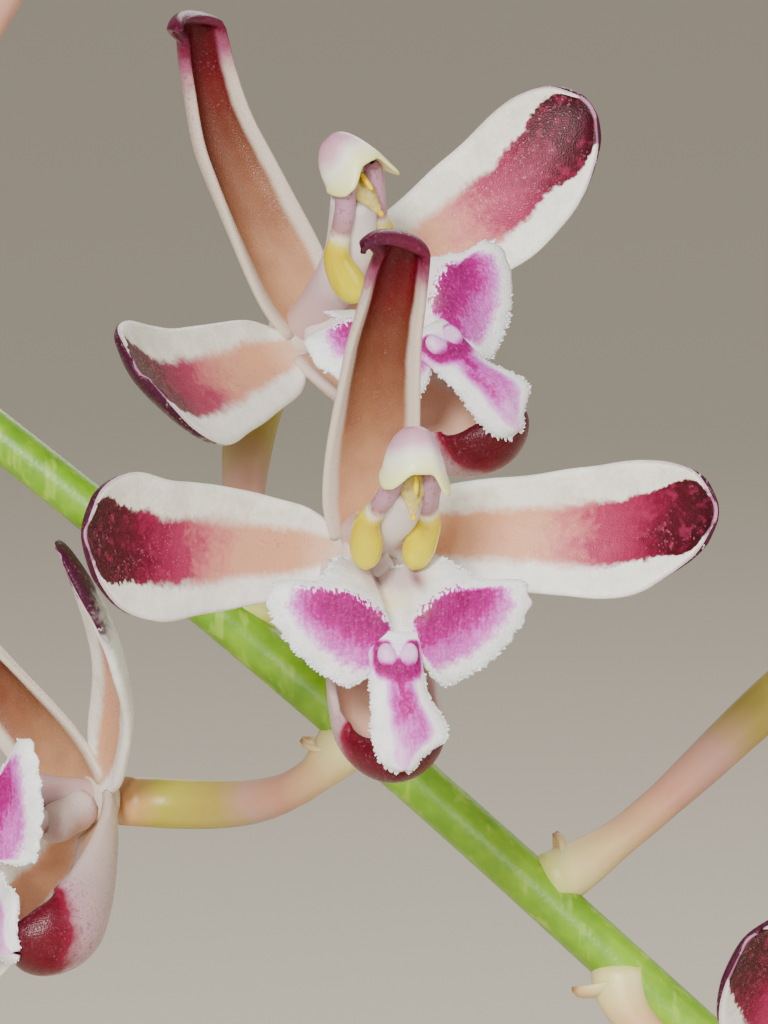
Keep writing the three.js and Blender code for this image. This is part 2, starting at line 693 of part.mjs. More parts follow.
function makeBlooms(places) {
  places.forEach((place, i) => {
    const name = `bloom_${String(i + 1).padStart(2, "0")}`;
    const fine = i === 0;
    const put = (shape) => shape.transform(place.frame.elements);
    const tepal = (middle) => solid(blade(middle, fine ? 10 : 4, fine ? 4 : 2, bladeThickness));
    if (fine) {
      addNode(`${name}_petal_left`, put(tepal(petalMiddle(-1))), colours.petal, 0.5);
      addNode(`${name}_petal_right`, put(tepal(petalMiddle(1))), colours.petal, 0.5);
      addNode(`${name}_dorsal_sepal`, put(tepal(dorsalMiddle)), colours.sepal, 0.5);
      addNode(`${name}_lateral_sepals`, put(tepal(lateralMiddle)), colours.sepal, 0.5);
      addNode(`${name}_lip`, put(fuse(lipSolids(true), 0.05)), colours.lip, 0.5);
      addNode(`${name}_column`, put(fuse(columnSolids(true), 0.05)), colours.column, 0.4);
      return;
    }
    const tepals = [petalMiddle(-1), petalMiddle(1), dorsalMiddle, lateralMiddle].map(tepal);
    addNode(`${name}_tepals`, put(fuse([heartSolid(), ...tepals], 0.08)), colours.petal, 0.5);
    addNode(`${name}_lip`, put(fuse([...lipSolids(false), ...columnSolids(false)], 0.04)), colours.lip, 0.5);
  });
}

const places = bloomPlaces();
makePot();
makeMix(bentTube(spikeCurve, () => spike.footRadius + mix.holeGap, spike.sides, 20));
addNode("rhizome_roots", rhizomeSolid(0), colours.root, 0.8);
makeBulbsAndLeaves();
makeSpike(places);
makeBlooms(places);

export default group;
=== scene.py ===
# Acriopsis liliifolia in a clay pot: finer petals, lips, leaves, bulbs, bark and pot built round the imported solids.
import bpy
import bmesh
import math
import random
from mathutils import Matrix, Vector, noise


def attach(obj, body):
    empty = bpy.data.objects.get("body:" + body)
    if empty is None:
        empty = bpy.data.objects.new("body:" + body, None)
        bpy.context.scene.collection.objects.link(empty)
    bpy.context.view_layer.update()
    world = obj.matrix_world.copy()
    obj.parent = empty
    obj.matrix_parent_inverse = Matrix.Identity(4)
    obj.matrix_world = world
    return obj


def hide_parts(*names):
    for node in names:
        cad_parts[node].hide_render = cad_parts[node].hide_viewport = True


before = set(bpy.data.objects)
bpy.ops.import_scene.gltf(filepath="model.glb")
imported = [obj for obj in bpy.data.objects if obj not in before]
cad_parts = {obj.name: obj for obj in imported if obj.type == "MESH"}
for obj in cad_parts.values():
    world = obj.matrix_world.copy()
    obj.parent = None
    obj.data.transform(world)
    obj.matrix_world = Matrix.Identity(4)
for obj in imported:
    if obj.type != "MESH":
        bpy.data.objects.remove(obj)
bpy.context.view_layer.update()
mm = 0.001
noise.seed_set(23)  # without a seed, noise_vector would differ from run to run


# small tools

def ease(value, low, high):
    share = min(1, max(0, (value - low) / (high - low)))
    return share * share * (3 - 2 * share)


def along(table, t):
    # a smooth run through (place, value) pairs
    for (a, low), (b, high) in zip(table, table[1:]):
        if t <= b:
            return low + (high - low) * ease(t, a, b) if b > a else high
    return table[-1][1]


def straight(table, t):
    # a straight run through (place, value) pairs
    if t <= table[0][0]:
        return table[0][1]
    for (a, low), (b, high) in zip(table, table[1:]):
        if t <= b:
            return low + (high - low) * (t - a) / (b - a)
    return table[-1][1]


def flow(table):
    # a smooth curve through (place, value) pairs
    last = len(table) - 1
    slopes = []
    for k in range(last + 1):
        (a, low), (b, high) = table[max(k - 1, 0)], table[min(k + 1, last)]
        slopes.append((high - low) / (b - a))

    def at(t):
        k = 0
        while k < last - 1 and t > table[k + 1][0]:
            k += 1
        (a, low), (b, high) = table[k], table[k + 1]
        s = min(1, max(0, (t - a) / (b - a)))
        bend = (slopes[k] * (1 - s) - slopes[k + 1] * s) * (b - a)
        return low + (high - low) * s * s * (3 - 2 * s) + bend * s * (1 - s)
    return at


def tint(red, green, blue):
    # screen colour, 0 to 255, as the shaders want it
    return tuple(((c / 255 + 0.055) / 1.055) ** 2.4 if c > 10 else c / 255 / 12.92 for c in (red, green, blue)) + (1,)


def lineThrough(points, steps=400):
    # centripetal curve through points, as (place, direction) by share of its length
    spots = [Vector(p) for p in points]
    spots = [spots[0] * 2 - spots[1]] + spots + [spots[-1] * 2 - spots[-2]]
    runs = len(spots) - 3
    found = []
    for k in range(steps + 1):
        p = min(k / steps * runs, runs - 1e-9)
        i = int(p)
        s = p - i
        a, b, c, d = spots[i:i + 4]
        gaps = [max((q - r).length ** 0.5, 1e-4) for q, r in ((a, b), (b, c), (c, d))]
        first = ((b - a) / gaps[0] - (c - a) / (gaps[0] + gaps[1]) + (c - b) / gaps[1]) * gaps[1]
        last = ((c - b) / gaps[1] - (d - b) / (gaps[1] + gaps[2]) + (d - c) / gaps[2]) * gaps[1]
        found.append(b + first * s + (3 * (c - b) - 2 * first - last) * s * s + (2 * (b - c) + first + last) * s ** 3)
    lengths = [0]
    for p, q in zip(found, found[1:]):
        lengths.append(lengths[-1] + (q - p).length)

    def at(share):
        want = min(max(share, 0), 1) * lengths[-1]
        low, high = 0, steps
        while high - low > 1:
            middle = (low + high) // 2
            low, high = (middle, high) if lengths[middle] <= want else (low, middle)
        gap = lengths[high] - lengths[low]
        return found[low].lerp(found[high], (want - lengths[low]) / gap), (found[high] - found[low]).normalized()

    return at


def bezier(a, b, c, d):
    def at(s):
        r = 1 - s
        place = a * r ** 3 + b * (3 * r * r * s) + c * (3 * r * s * s) + d * s ** 3
        return place, ((b - a) * (r * r) + (c - b) * (2 * r * s) + (d - c) * (s * s)).normalized()
    return at


# mesh tools: every helper adds a closed body in millimetres to a bmesh

def linked(verts, kind):
    # the edges or faces at some vertices, each once and in the same order each run
    return list(dict.fromkeys(part for v in verts for part in getattr(v, kind)))


def patch(bm, across, length):
    # a flat grid with x and y from -1 to 1 and its own UVs
    uv = bm.loops.layers.uv.verify()
    verts = bmesh.ops.create_grid(bm, x_segments=across, y_segments=length, size=1)["verts"]
    faces = linked(verts, "link_faces")
    for face in faces:
        for loop in face.loops:
            loop[uv].uv = (loop.vert.co.x * 0.5 + 0.5, loop.vert.co.y * 0.5 + 0.5)
    return verts, faces


def addSheet(bm, shapeAt, length, across, thickness, flip=1, rim=0.22, crowd=1, rough=None, material=0):
    # thin closed body round a surface: t runs 0 to 1 along it, w -1 to 1 across it; flip turns its front round
    outer = bm.verts.layers.float.get("outer") or bm.verts.layers.float.new("outer")
    fronts, faces = patch(bm, across, length)
    made = bmesh.ops.extrude_face_region(bm, geom=faces, use_keep_orig=True)["geom"]
    backs = [g for g in made if isinstance(g, bmesh.types.BMVert)]
    step = 0.004
    for verts, side in ((fronts, 1), (backs, -1)):
        for v in verts:
            w = v.co.x
            t = 1 - (0.5 - 0.5 * v.co.y) ** crowd
            ahead = shapeAt(min(t + step, 1), w) - shapeAt(max(t - step, 0), w)
            aside = shapeAt(t, min(w + step, 1)) - shapeAt(t, max(w - step, -1))
            normal = ahead.cross(aside)
            normal = normal.normalized() if normal.length > 1e-12 else Vector((0, 0, 1))
            edge = max(abs(w), 2 * t - 1)
            half = thickness / 2 * (rim + (1 - rim) * math.sqrt(max(0, 1 - edge ** 6)))
            lift = rough(t, w, side) if rough else 0
            v.co = shapeAt(t, w) + normal * flip * side * (half + lift)
            v[outer] = 0 if side > 0 else 1
    for face in linked(fronts + backs, "link_faces"):
        face.smooth = True
        face.material_index = material


def pointed(radiusAt):
    # the same radii with both ends drawn to a point
    return lambda share: radiusAt(share) if 0 < share < 1 else 0


def addTube(bm, lineAt, radiusAt, around, length, material=0, crest=None):
    # round body along a line, its ends drawn to a point
    outer = bm.verts.layers.float.get("outer") or bm.verts.layers.float.new("outer")
    verts, faces = patch(bm, around, length)
    rings = {}
    normal = None
    for k in range(length + 1):
        share = k / length
        place, ahead = lineAt(share)
        if normal is None:
            normal = ahead.orthogonal().normalized()
        normal = (normal - ahead * normal.dot(ahead)).normalized()
        rings[k] = (place, normal.copy(), ahead.cross(normal))
    for v in verts:
        k = round((v.co.y * 0.5 + 0.5) * length)
        angle = math.pi * (v.co.x + 1)
        place, across, beside = rings[k]
        size = radiusAt(k / length) * (crest(k / length, angle) if crest else 1)
        v.co = place + (across * math.cos(angle) + beside * math.sin(angle)) * size
        v[outer] = 0
    for face in faces:
        face.smooth = True
        face.material_index = material
    bmesh.ops.remove_doubles(bm, verts=verts, dist=1e-5)


def addBall(bm, middle, radii, detail, turned=None, material=0, shape=None):
    verts = bmesh.ops.create_icosphere(bm, subdivisions=detail, radius=1)["verts"]
    for v in verts:
        p = v.co.copy()
        if shape:
            p = shape(p)
        p = Vector((p.x * radii[0], p.y * radii[1], p.z * radii[2]))
        v.co = (turned @ p if turned else p) + Vector(middle)
    for face in linked(verts, "link_faces"):
        face.smooth = True
        face.material_index = material


def spinRound(bm, profile, steps):
    # body of revolution from (radius, height) pairs
    verts = [bm.verts.new((radius, 0, height)) for radius, height in profile]
    edges = [bm.edges.new(pair) for pair in zip(verts, verts[1:])]
    bmesh.ops.spin(bm, geom=verts + edges, axis=(0, 0, 1), cent=(0, 0, 0), steps=steps, angle=math.tau, use_merge=True)
    bmesh.ops.remove_doubles(bm, verts=bm.verts[:], dist=1e-4)


def flatWay(degrees):
    # level direction at an angle from x
    return Vector((math.cos(math.radians(degrees)), math.sin(math.radians(degrees)), 0))


def join(bm, part):
    # moves a finished part into the bmesh of its piece
    mesh = bpy.data.meshes.new("part")
    part.to_mesh(mesh)
    part.free()
    bm.from_mesh(mesh)
    bpy.data.meshes.remove(mesh)


def repeats(bm, verts, count):
    # copies of a small body, itself among them: the vertices of each, all in the same place
    islands = [verts]
    while len(islands) < count:
        chosen = islands[:count - len(islands)]
        loose = [v for island in chosen for v in island]
        geom = loose + linked(loose, "link_edges") + linked(loose, "link_faces")
        made = bmesh.ops.duplicate(bm, geom=geom)["vert_map"]
        islands += [[made[v] for v in island] for island in chosen]
    return islands


def piece(name, bm, materials, slot, *nodes):
    # a finished piece: in metres, facing outwards, riding on the root and standing for its solids
    bmesh.ops.recalc_face_normals(bm, faces=bm.faces[:])
    bmesh.ops.scale(bm, vec=(mm, mm, mm), verts=bm.verts[:])
    mesh = bpy.data.meshes.new(name)
    bm.to_mesh(mesh)
    bm.free()
    obj = bpy.data.objects.new(name, mesh)
    bpy.context.scene.collection.objects.link(obj)
    for material in materials:
        mesh.materials.append(material)
    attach(obj, "root")
    if nodes:
        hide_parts(*nodes)
    return obj


# shader tools

def newNode(tree, kind, values=None, **settings):
    made = tree.nodes.new(kind)
    for key, value in settings.items():
        setattr(made, key, value)
    for key, value in (values or {}).items():
        if isinstance(value, bpy.types.NodeSocket):
            tree.links.new(value, made.inputs[key])
        else:
            made.inputs[key].default_value = value
    return made


def calc(operation, a, b=0, c=0):
    tree = next(value.id_data for value in (a, b, c) if isinstance(value, bpy.types.NodeSocket))
    return newNode(tree, "ShaderNodeMath", {0: a, 1: b, 2: c}, operation=operation).outputs[0]


def fade(value, low, high, start=0, end=1):
    # smooth step from low to high
    limits = {"Value": value, "From Min": low, "From Max": high, "To Min": start, "To Max": end}
    return newNode(value.id_data, "ShaderNodeMapRange", limits, interpolation_type="SMOOTHSTEP").outputs["Result"]


def blend(factor, a, b):
    # a and b are sockets or screen colours
    a, b = (tint(*value) if isinstance(value, tuple) else value for value in (a, b))
    return newNode(factor.id_data, "ShaderNodeMix", {0: factor, 6: a, 7: b}, data_type="RGBA").outputs[2]


def ramp(value, stops):
    # stops are (place, screen colour) pairs
    made = newNode(value.id_data, "ShaderNodeValToRGB", {"Fac": value})
    stripe = made.color_ramp
    while len(stripe.elements) < len(stops):
        stripe.elements.new(0.5)
    for element, (place, colour) in zip(stripe.elements, stops):
        element.position = place
        element.color = tint(*colour)
    return made.outputs["Color"]


def cloud(where, scale, detail=3, distortion=0):
    values = {"Vector": where, "Scale": scale, "Detail": detail, "Distortion": distortion}
    return newNode(where.id_data, "ShaderNodeTexNoise", values).outputs["Fac"]


def swing(where, scale, detail, amount=1):
    # a cloud that swings about nought
    return calc("MULTIPLY_ADD", cloud(where, scale, detail), amount, -0.5 * amount)


def mark(where, name):
    # a value that the mesh carries
    return newNode(where.id_data, "ShaderNodeAttribute", attribute_name=name).outputs["Fac"]


def stretch(where, *scale):
    return newNode(where.id_data, "ShaderNodeMapping", {"Vector": where, "Scale": scale}).outputs[0]


def startMaterial(name, roughness=0.5, **shader):
    material = bpy.data.materials.new(name)
    material.use_nodes = True
    tree = material.node_tree
    principled = tree.nodes["Principled BSDF"]
    principled.inputs["Roughness"].default_value = roughness
    for key, value in shader.items():
        principled.inputs[key.replace("_", " ")].default_value = value
    where = newNode(tree, "ShaderNodeTexCoord").outputs["Object"]
    return material, principled, where


def surfacePlace(where):
    # along (0 to 1) and across (-1 to 1), from the piece's own UVs
    tree = where.id_data
    split = newNode(tree, "ShaderNodeSeparateXYZ", {0: newNode(tree, "ShaderNodeUVMap").outputs[0]})
    return split.outputs[1], calc("MULTIPLY_ADD", split.outputs[0], 2, -1)


def feel(principled, colour, height=None, strength=0.5, distance=0.00002, roughness=None):
    tree = principled.id_data
    tree.links.new(colour, principled.inputs["Base Color"])
    if height is not None:
        bump = newNode(tree, "ShaderNodeBump", {"Strength": strength, "Distance": distance, "Height": height})
        tree.links.new(bump.outputs[0], principled.inputs["Normal"])
    if roughness is not None:
        tree.links.new(roughness, principled.inputs["Roughness"])


def startGroup(name, setting, *results):
    # a group that reads a place and one number
    group = bpy.data.node_groups.new(name, "ShaderNodeTree")
    group.interface.new_socket("Place", in_out="INPUT", socket_type="NodeSocketVector")
    group.interface.new_socket(setting, in_out="INPUT", socket_type="NodeSocketFloat")
    for result in results:
        group.interface.new_socket(result, in_out="OUTPUT", socket_type="NodeSocketFloat")
    return group, newNode(group, "NodeGroupInput"), newNode(group, "NodeGroupOutput")


def makeCellGroup():
    # domed surface cells with a few picked out as glints, which the skins paint into their colour as painted
    # highlights; Size is a cell's width in metres
    group, start, end = startGroup("tissueCells", "Size", "Height", "Glint")
    scale = calc("DIVIDE", 1, start.outputs["Size"])
    cells = newNode(group, "ShaderNodeTexVoronoi", {"Vector": start.outputs["Place"], "Scale": scale,
                                                    "Randomness": 0.85})
    dome = calc("SUBTRACT", 1, cells.outputs["Distance"])
    group.links.new(dome, end.inputs["Height"])
    own = newNode(group, "ShaderNodeSeparateColor", {0: cells.outputs["Color"]})
    group.links.new(fade(own.outputs[0], 0.86, 0.97), end.inputs["Glint"])
    return group


def makeMottleGroup():
    # slow patches with finer ones in them, 0 to 1 about a half
    group, start, end = startGroup("mottle", "Scale", "Value")
    coarse = cloud(start.outputs["Place"], start.outputs["Scale"], 4)
    fine = cloud(start.outputs["Place"], calc("MULTIPLY", start.outputs["Scale"], 5.3), 2)
    both = calc("MULTIPLY_ADD", fine, 0.35, calc("MULTIPLY", coarse, 0.65))
    group.links.new(fade(both, 0.33, 0.67), end.inputs["Value"])
    return group


cellGroup = makeCellGroup()
mottleGroup = makeMottleGroup()


def cells(where, size):
    made = newNode(where.id_data, "ShaderNodeGroup", node_tree=cellGroup)
    where.id_data.links.new(where, made.inputs["Place"])
    made.inputs["Size"].default_value = size
    return made.outputs["Height"], made.outputs["Glint"]


def mottle(where, scale):
    made = newNode(where.id_data, "ShaderNodeGroup", node_tree=mottleGroup)
    where.id_data.links.new(where, made.inputs["Place"])
    made.inputs["Scale"].default_value = scale
    return made.outputs["Value"]


def rampSkin(name, stops, drift, cell, relief, roughness=0.4, **shader):
    # colours along a part; drift is the scale and size of their wander, relief a bump's strength and distance
    material, principled, where = startMaterial(name, roughness, **shader)
    shade = calc("ADD", surfacePlace(where)[0], swing(where, drift[0], 3, drift[1]))
    feel(principled, ramp(shade, stops), cells(where, cell)[0], *relief)
    return material


# bloom materials

def makePetalSkin():
    material, principled, where = startMaterial("petalSkin", 0.42, Subsurface_Weight=0.12,
                                                Subsurface_Scale=0.0003, Specular_IOR_Level=0.25)
    t, signed = surfacePlace(where)
    size = calc("ABSOLUTE", signed)
    patches = swing(where, 1500, 3)
    fine = swing(where, 9000, 1)
    wander = calc("MULTIPLY_ADD", fine, 0.5, patches)
    blush = mark(where, "blush")
    ripe = calc("MULTIPLY_ADD", blush, fade(t, 0.95, 0.6), t)
    shifted = calc("MULTIPLY_ADD", wander, 0.2, ripe)
    stripe = ramp(shifted, [
        (0, (208, 136, 88)), (0.16, (222, 164, 120)), (0.4, (218, 158, 126)),
        (0.49, (200, 112, 112)), (0.56, (164, 48, 84)), (0.66, (144, 26, 68)),
        (0.74, (110, 0, 42)), (0.8, (74, 0, 20)), (1, (44, 0, 10)),
    ])
    lit = fade(cloud(where, 5000, 1), 0.5, 0.72, 0, 0.4)
    inTip = calc("MULTIPLY", lit, fade(ripe, 0.5, 0.62))
    stripe = blend(inTip, stripe, (162, 40, 84))
    centred = calc("ABSOLUTE", calc("ADD", signed, 0.03))
    halfStripe = fade(t, 0.66, 0.98, 0.5, 1)
    away = calc("SUBTRACT", calc("MULTIPLY_ADD", wander, 0.3, centred), halfStripe)
    sharp = fade(t, 0.3, 0.78, 0.24, 0.045)
    mask = fade(calc("DIVIDE", away, sharp), 0.6, -0.6)
    faint = calc("MULTIPLY", mask, fade(t, 0, 0.14, 0.6, 1))
    upper = blend(mottle(where, 1800), (222, 218, 200), (244, 241, 228))
    lower = blend(mottle(where, 3600), (236, 233, 222), (250, 248, 240))
    cream = blend(fade(signed, 0.3, -0.5), upper, lower)
    colour = blend(faint, cream, stripe)
    rimMask = calc("MAXIMUM", fade(t, 0.975, 0.992), fade(size, 0.965, 0.99, 0, 0.6))
    colour = blend(calc("MULTIPLY", rimMask, fade(t, 0.55, 0.9)), colour, (176, 122, 150))
    outside = mark(where, "outer")
    purple = blend(fade(shifted, 0.66, 0.84), cream, (64, 6, 38))
    colour = blend(fade(outside, 0.4, 0.6), colour, purple)
    # painted highlights: a few cells, gathered in clusters, are painted into the colour as glints, near white on the
    # cream and pink on the stripe
    dome, glint = cells(where, 0.000034)
    glintClusters = fade(patches, -0.06, 0.16, 0.06, 0.45)
    pale = blend(faint, (250, 248, 244), (190, 100, 128))
    colour = blend(calc("MULTIPLY", glint, glintClusters), colour, pale)
    feel(principled, colour, dome, 0.6, 0.00001, calc("MULTIPLY_ADD", glint, -0.2, 0.44))
    return material


def makeSepalSkin(name, inside, outsideStops, pale):
    # inside and outside each have colours along the sepal; pale is the rims' colour
    material, principled, where = startMaterial(name, 0.35, Subsurface_Weight=0.12, Subsurface_Scale=0.0003,
                                                Specular_IOR_Level=0.3)
    t, signed = surfacePlace(where)
    size = calc("ABSOLUTE", signed)
    wander = swing(where, 1800, 4)
    shifted = calc("MULTIPLY_ADD", wander, 0.16, t)
    inner = ramp(shifted, inside)
    outer = ramp(shifted, outsideStops)
    edge = calc("MULTIPLY_ADD", wander, 0.12, size)
    rimMask = calc("MULTIPLY", fade(edge, 0.66, 0.84), fade(t, 1, 0.9))
    inner = blend(rimMask, inner, blend(fade(shifted, 0.56, 0.7), pale, outer))
    isOut = mark(where, "outer")
    dome, glint = cells(where, 0.000034)
    specks = fade(cloud(where, 14000, 1), 0.56, 0.66)
    speckled = calc("MULTIPLY", specks, fade(shifted, 0.35, 0.66, 0, 0.4))
    outer = blend(speckled, outer, (112, 24, 62))
    colour = blend(fade(isOut, 0.4, 0.6), inner, outer)
    # painted highlights: glinting cells, in clusters, are painted pink into the colour
    sparkle = calc("MULTIPLY", glint, fade(wander, -0.06, 0.16, 0.04, 0.2))
    colour = blend(sparkle, colour, (206, 130, 158))
    shine = calc("MULTIPLY_ADD", glint, -0.15, 0.34)
    feel(principled, colour, dome, 0.5, 0.000012, shine)
    return material


lipMarks = ("above", "beside", "edge", "band", "throat", "spot", "cream")


def makeLipSkin():
    material, principled, where = startMaterial("lipSkin", 0.55, Subsurface_Weight=0.15, Subsurface_Scale=0.0002,
                                                Specular_IOR_Level=0.25)
    above, beside, edge, band, throat, spot, cream = (mark(where, name) for name in lipMarks)
    patches = swing(where, 2200, 2)
    fine = swing(where, 16000, 1)
    comb = swing(stretch(where, 1, 1, 0.16), 17000, 1)
    toothed = calc("MULTIPLY_ADD", comb, 0.34, above)
    below = fade(toothed, 0.04, -0.03)
    soft = calc("MULTIPLY_ADD", patches, 0.5, above)
    near = fade(soft, -1.05, -0.2, 0.5, 1)
    inwards = fade(calc("MULTIPLY_ADD", fine, 0.2, edge), 0.22, 0.56)
    off = fade(calc("MULTIPLY_ADD", fine, 0.1, beside), 0.18, 0.36)
    wings = calc("MULTIPLY", calc("MULTIPLY", below, near), calc("MULTIPLY", inwards, off))
    wings = calc("MULTIPLY", wings, fade(beside, 1.2, 2.1, 1, 0.5))
    banded = calc("MULTIPLY_ADD", patches, 0.4, band)
    amount = calc("MAXIMUM", wings, fade(banded, 0.12, 1, 0, 1))
    amount = calc("MULTIPLY", amount, fade(calc("ADD", comb, fine), -0.3, 0.22, 0.78, 1))
    white = blend(mottle(where, 3000), (234, 230, 228), (252, 250, 248))
    colour = ramp(amount, [
        (0, (250, 246, 248)), (0.2, (230, 176, 224)), (0.45, (206, 96, 190)),
        (0.68, (170, 12, 126)), (1, (132, 0, 86)),
    ])
    colour = blend(fade(amount, 0, 0.12), white, colour)
    colour = blend(fade(throat, 0.1, 0.9, 0, 0.8), colour, (214, 190, 184))
    colour = blend(spot, colour, (128, 60, 76))
    colour = blend(cream, colour, (244, 226, 180))
    dome, glint = cells(where, 0.00004)
    # painted highlights: a faint share of glinting cells is painted near white into the colour
    colour = blend(calc("MULTIPLY", glint, 0.05), colour, (255, 240, 250))
    feel(principled, colour, calc("MULTIPLY_ADD", comb, 0.5, dome), 0.65, 0.000016)
    return material


def makeColumnSkins():
    # hood, arms, beak and knobs
    hood = rampSkin("hoodSkin", [(0, (196, 138, 160)), (0.35, (214, 166, 184)), (0.6, (248, 238, 222)),
                                 (0.8, (250, 244, 188)), (1, (236, 232, 150))],
                    (2500, 0.2), 0.00004, (0.25, 0.000008), Subsurface_Weight=0.3, Subsurface_Scale=0.0004)

    arm, principled, where = startMaterial("armSkin", 0.3)
    t = surfacePlace(where)[0]
    shade = calc("ADD", t, swing(where, 3500, 3, 0.12))
    colour = ramp(shade, [(0, (170, 128, 146)), (0.26, (186, 140, 160)), (0.4, (172, 124, 124)),
                          (0.47, (234, 224, 196)), (0.54, (216, 198, 40)), (0.6, (202, 178, 0)),
                          (0.86, (206, 190, 0)), (1, (218, 206, 0))])
    specks = fade(cloud(where, 12000, 1), 0.6, 0.68)
    specks = calc("MULTIPLY", specks, fade(shade, 0.5, 0.4))
    colour = blend(calc("MULTIPLY", specks, 0.5), colour, (128, 70, 84))
    feel(principled, colour, mottle(where, 6000), 0.12, 0.000005, fade(t, 0.45, 0.6, 0.42, 0.06))

    body = rampSkin("columnSkin", [(0, (206, 170, 160)), (0.4, (196, 166, 172)), (0.7, (226, 214, 214)),
                                   (1, (214, 200, 196))],
                    (2500, 0.3), 0.00004, (0.25, 0.000008), Subsurface_Weight=0.2, Subsurface_Scale=0.0003)

    beak, principled, where = startMaterial("beakSkin", 0.25, Subsurface_Weight=0.3, Subsurface_Scale=0.0003)
    colour = blend(mottle(where, 2500), (168, 150, 70), (214, 198, 120))
    feel(principled, colour, cells(where, 0.00004)[0], 0.2, 0.000006)

    point, principled, where = startMaterial("yellowPointSkin", 0.15)
    colour = blend(mottle(where, 2600), (222, 176, 0), (240, 214, 20))
    feel(principled, colour, mottle(where, 5000), 0.15, 0.000006)
    return [hood, point, beak, arm, body]


petalSkin = makePetalSkin()
# the dorsal sepal's inside runs from tan at its foot to deep maroon at the hook; the maroon is its own colour, while
# the darker browns along the middle are partly its own colour and partly painted shade of the hollow under the hook
dorsalSkin = makeSepalSkin("dorsalSkin", [
    (0, (206, 154, 112)), (0.14, (178, 130, 94)), (0.27, (140, 92, 64)), (0.4, (110, 62, 40)),
    (0.5, (100, 44, 28)), (0.58, (98, 20, 18)), (0.66, (92, 0, 14)), (0.8, (78, 0, 12)),
    (1, (56, 0, 10)),
], [
    (0, (208, 194, 170)), (0.6, (196, 174, 164)), (0.68, (158, 88, 116)), (0.76, (104, 8, 48)),
    (1, (60, 4, 34)),
], (204, 190, 172))
lateralSkin = makeSepalSkin("lateralSkin", [
    (0, (210, 168, 130)), (0.4, (214, 172, 146)), (0.72, (204, 154, 136)), (1, (96, 4, 28)),
], [
    (0, (208, 190, 176)), (0.45, (196, 172, 166)), (0.66, (182, 142, 150)), (0.72, (128, 10, 46)),
    (0.78, (96, 0, 22)), (1, (70, 0, 14)),
], (204, 184, 176))
lipSkin = makeLipSkin()
columnSkins = makeColumnSkins()
print("bloom materials made")


# bloom shapes, in the bloom's own frame: x to the right, y up, z forward out of the bloom

petal = {
    "length": 6.62, "lean": [(0, 6), (0.93, 48), (1, 72)], "from": 0.3, "roll": [(0, 26), (0.85, 22), (1, 32)],
    "half": [(0, 0.3), (0.06, 0.58), (0.12, 0.82), (0.2, 0.96), (0.46, 1.21), (0.67, 1.36), (0.8, 1.28), (0.9, 1.02),
             (0.96, 0.7), (1, 0.24)],
    "breadth": (0.98, 0.91), "level": (-0.25, 0.03), "rise": (0.26, 0.4), "blush": (0.1, 0), "thick": 0.24,
}
dorsal = {
    "length": 7.1, "lean": [(0, 9), (0.5, 20), (0.82, 50), (0.93, 105), (1, 168)], "from": -0.05,
    "roll": [(0, 34), (0.3, 60), (0.8, 88), (1, 60)],
    "half": [(0, 0.7), (0.1, 0.95), (0.24, 1.02), (0.49, 0.95), (0.68, 0.83), (0.8, 0.75),
             (0.88, 0.6), (0.94, 0.3), (0.98, 0.1), (1, 0.02)],
    "aside": 0.1, "drift": 0.08, "hook": 0.95, "thick": 0.22,
}
lateral = {
    "length": 5.94, "lean": [(0, 14), (0.58, 32), (0.8, 84), (1, 156)], "from": 0.5,
    "roll": [(0, 40), (0.4, 80), (0.8, 98), (1, 80)],
    "half": [(0, 0.75), (0.3, 1.22), (0.62, 1.6), (0.85, 1.36), (0.95, 0.9), (1, 0.25)], "thick": 0.24,
}


def spineOf(spec, steps=96):
    # out and forward along a tepal's middle, with the angle it leans at
    out, forward, leans = [0], [0], [math.radians(spec["lean"][0][1])]
    for k in range(steps):
        lean = math.radians(straight(spec["lean"], (k + 0.5) / steps))
        out.append(out[-1] + math.cos(lean) * spec["length"] / steps)
        forward.append(forward[-1] + math.sin(lean) * spec["length"] / steps)
        leans.append(lean)

    def at(t):
        k = min(max(t, 0), 1) * steps
        i = min(int(k), steps - 1)
        return [row[i] + (row[i + 1] - row[i]) * (k - i) for row in (out, forward, leans)]
    return at


def tepalShape(spec):
    # across, out and forward of a tepal whose section is rolled into an arc
    spine, halfAt, rollAt = spineOf(spec), flow(spec["half"]), flow(spec["roll"])

    def at(t, w):
        out, forward, lean = spine(t)
        half = halfAt(t)
        roll = math.radians(rollAt(t))
        across = half / roll * math.sin(roll * w)
        depth = half / roll * (1 - math.cos(roll * w))
        return across, out - depth * math.sin(lean), forward + depth * math.cos(lean)
    return at


def wobble(place, scale, amount, seed):
    return noise.noise(Vector(place) * scale + Vector((seed * 7.1, seed * 3.3, seed * 1.7))) * amount


def petalAt(side, seed):
    shape = tepalShape(petal)
    level, rise, breadth = (petal[name][side > 0] for name in ("level", "rise", "breadth"))

    def at(t, w):
        across, out, forward = shape(t, w)
        ruffle = wobble((t * 3, w, 0), 1.3, 0.10, seed)
        edge = 1 + wobble((t * 5, w, 2), 1.2, 0.05, seed)
        return Vector((side * (petal["from"] + out), level + rise * ease(t, 0.6, 1) + across * edge * breadth,
                       forward + ruffle * abs(w)))
    return at


def dorsalAt(seed):
    shape = tepalShape(dorsal)

    def at(t, w):
        across, out, forward = shape(t, w)
        aside = dorsal["aside"] + dorsal["drift"] * ease(t, 0.5, 0.7) - dorsal["hook"] * ease(t, 0.84, 1)
        return Vector((across + aside + wobble((t * 3, w, 0), 1.1, 0.08, seed), dorsal["from"] + out, forward))
    return at


def lateralAt(seed):
    shape = tepalShape(lateral)

    def at(t, w):
        across, out, forward = shape(t, w)
        return Vector((across + wobble((t * 3, w, 4), 1.1, 0.08, seed), -lateral["from"] - out, forward))
    return at


